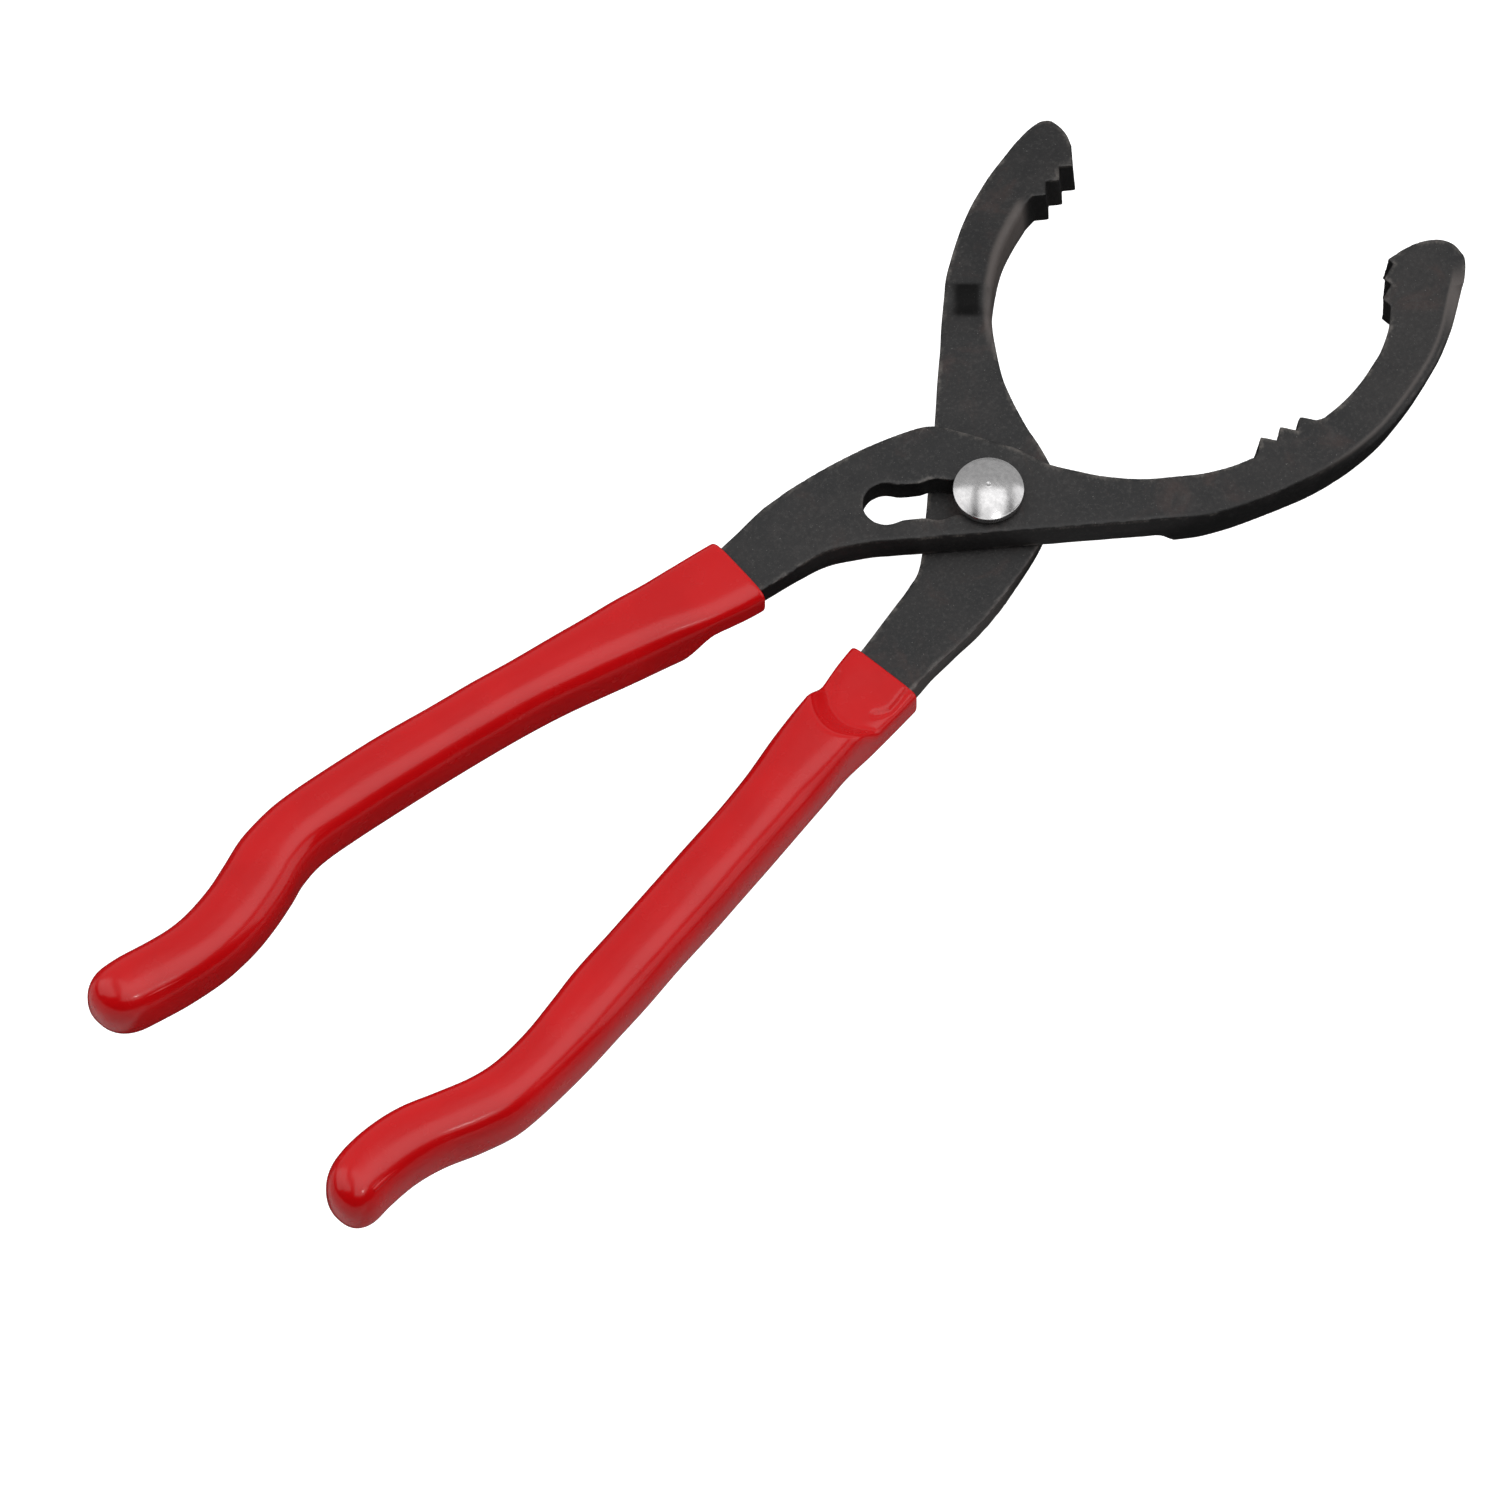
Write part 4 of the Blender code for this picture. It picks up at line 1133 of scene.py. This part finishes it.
def dark_hardware():
    """Dark plating with pale flecks, for the washers and the nut."""
    mat = Nodes("dark_plated_hardware")
    cloud = mat.noise(scale=300.0, detail=3.0, rough=0.6)
    base = mat.tint((0.026, 0.026, 0.027), cloud, low=0.35, high=0.7,
                    colour=(0.042, 0.040, 0.039))
    fleck = mat.noise(scale=1800.0, detail=2.0, rough=0.6)
    base = mat.tint(base, fleck, low=0.66, high=0.78, most=0.5, colour=(0.12, 0.115, 0.11))
    rough = mat.band(mat.noise(scale=500.0, detail=3.0, rough=0.6),
                     low=0.35, high=0.7, to_low=0.32, to_high=0.44)
    skin = mat.bump(mat.noise(scale=1300.0, detail=3.0, rough=0.6),
                    strength=0.25, distance=0.00008)
    return mat.finish(Base_Color=base, Roughness=rough, Metallic=0.7, Normal=skin)


def pale_floor():
    """Floor that glows white to the camera; to reflections its colour is painted shade, dark,
    with painted light in patches.
    """
    mat = Nodes("pale_floor")
    path = mat.new("ShaderNodeLightPath").outputs
    tone = mat.mix(mat.noise(scale=3.0, detail=2.0), (0.60, 0.60, 0.60), (0.62, 0.62, 0.62))
    # painted reflection: reflections see it lighter on the -y side of the handles and past
    # their ends
    place = mat.new("ShaderNodeSeparateXYZ", {"Vector": mat.coord}).outputs
    beside = mat.math("MULTIPLY", mat.band(place["Y"], low=-0.014, high=-0.032),
                      mat.band(place["X"], low=0.014, high=-0.008))
    mirrored = mat.mix(beside, (0.035, 0.035, 0.035), (0.30, 0.30, 0.30))
    mirrored = mat.tint(mirrored, place["X"], low=-0.206, high=-0.216,
                        colour=(0.62, 0.60, 0.60))
    glow = mat.math("MULTIPLY", path["Is Camera Ray"], 0.92)
    return mat.finish(Base_Color=mat.mix(path["Is Glossy Ray"], tone, mirrored),
                      Roughness=0.9, Emission_Color=(1.0, 1.0, 1.0, 1.0),
                      Emission_Strength=glow, Specular_IOR_Level=0.0)


# --------------------------------------------------------------- stage, metres
FLOOR_DROP = 0.012                  # below the tool
FLOOR_HALF = 6.0

# View axes; AIM is the middle of the picture
TURN, ELEVATION = math.radians(45.7), math.radians(28.0)
Z_AXIS = Vector((0, 0, 1))
RIGHT = Vector((math.cos(TURN), -math.sin(TURN), 0.0))
AWAY = Vector((math.sin(TURN), math.cos(TURN), 0.0))
TO_CAMERA = Z_AXIS * math.cos(ELEVATION) - AWAY * math.sin(ELEVATION)
UP = AWAY * math.cos(ELEVATION) + Z_AXIS * math.sin(ELEVATION)
AIM = Vector((0.0, 0.0, (FULL / 2 + MID_Z) * MM)) + RIGHT * -0.0477 + UP * -0.0512
CAMERA_DISTANCE, VIEW_WIDTH, SENSOR = 9.0, 0.3, 36.0        # the sensor in mm

# Soft boxes: name, direction (up, right, away), distance, two sides, radiance
LIGHTS = (
    ("top_box", (1.0, 0.16, -0.18), 1.5, 1.28, 1.92, 1.38),
    ("top_lamp", (0.839, 0.286, -0.463), 1.4, 0.09, 0.09, 42.0),
    ("left_box", (0.64, -0.77, 0.08), 1.5, 1.36, 1.30, 1.22),
    ("right_box", (0.40, 0.95, 0.10), 1.5, 1.40, 1.20, 1.12),
)


def build_floor():
    z = float(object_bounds()[0][2]) - FLOOR_DROP
    bm = bmesh.new()
    bmesh.ops.create_grid(bm, x_segments=2, y_segments=2, size=FLOOR_HALF)
    mesh = bpy.data.meshes.new("floor")
    bm.to_mesh(mesh)
    bm.free()
    floor = bpy.data.objects.new("floor", mesh)
    bpy.context.scene.collection.objects.link(floor)
    floor.location = (0.0, 0.0, z)
    mesh.materials.append(pale_floor())


def build_camera():
    camera = bpy.data.cameras.new("camera")
    obj = bpy.data.objects.new("camera", camera)
    bpy.context.scene.collection.objects.link(obj)
    camera.sensor_width = SENSOR
    camera.lens = SENSOR * CAMERA_DISTANCE / VIEW_WIDTH
    camera.clip_start, camera.clip_end = 0.5, 40.0
    obj.location = AIM + TO_CAMERA * CAMERA_DISTANCE
    obj.rotation_euler = Matrix((RIGHT, UP, TO_CAMERA)).transposed().to_euler()
    bpy.context.scene.camera = obj


def area_light(name, toward, distance, size, size_y, radiance):
    data = bpy.data.lights.new(name, "AREA")
    data.shape = "RECTANGLE"
    data.size, data.size_y = size, size_y
    data.energy = radiance * math.pi * size * size_y
    obj = bpy.data.objects.new(name, data)
    bpy.context.scene.collection.objects.link(obj)
    up, right, away = toward
    direction = (Z_AXIS * up + RIGHT * right + AWAY * away).normalized()
    obj.location = AIM + direction * distance
    # the first side is square to the view's depth, or level for a light at the side
    across = AWAY if abs(direction.dot(RIGHT)) < 0.6 else Z_AXIS
    side = direction.cross(across).normalized()
    rotation = Matrix((side, direction.cross(side), direction)).transposed()
    obj.rotation_euler = rotation.to_euler()


def build_world():
    """A room that is grey behind the tool and dark in front of it."""
    world = bpy.data.worlds.new("studio")
    world.use_nodes = True
    bpy.context.scene.world = world
    tree = world.node_tree
    background = tree.nodes["Background"]
    coord = tree.nodes.new("ShaderNodeTexCoord")
    dot = tree.nodes.new("ShaderNodeVectorMath")
    dot.operation = "DOT_PRODUCT"
    dot.inputs[1].default_value = tuple(AWAY * 0.75 + Z_AXIS * 0.66)
    fade = tree.nodes.new("ShaderNodeMapRange")
    fade.interpolation_type = "SMOOTHSTEP"
    for key, value in (("From Min", 0.15), ("From Max", 0.75),
                       ("To Min", 0.03), ("To Max", 0.61)):
        fade.inputs[key].default_value = value
    tree.links.new(coord.outputs["Generated"], dot.inputs[0])
    tree.links.new(dot.outputs["Value"], fade.inputs["Value"])
    tree.links.new(fade.outputs[0], background.inputs["Strength"])
    background.inputs["Color"].default_value = (1.0, 1.0, 1.0, 1.0)


oxide, vinyl, nickel, dark = black_oxide(), red_vinyl(), polished_nickel(), dark_hardware()
for build, material in (
        (build_front, oxide), (build_rear, oxide),
        (build_front_grip, vinyl), (build_rear_grip, vinyl), (build_bolt, nickel),
        (build_flat_washer, dark), (build_lock_washer, dark), (build_nut, dark)):
    piece = build()
    piece.data.materials.clear()
    piece.data.materials.append(material)

build_floor()
build_camera()
build_world()
for light in LIGHTS:
    area_light(*light)
bpy.context.scene.view_settings.view_transform = "Standard"
bpy.context.scene.view_settings.look = "None"
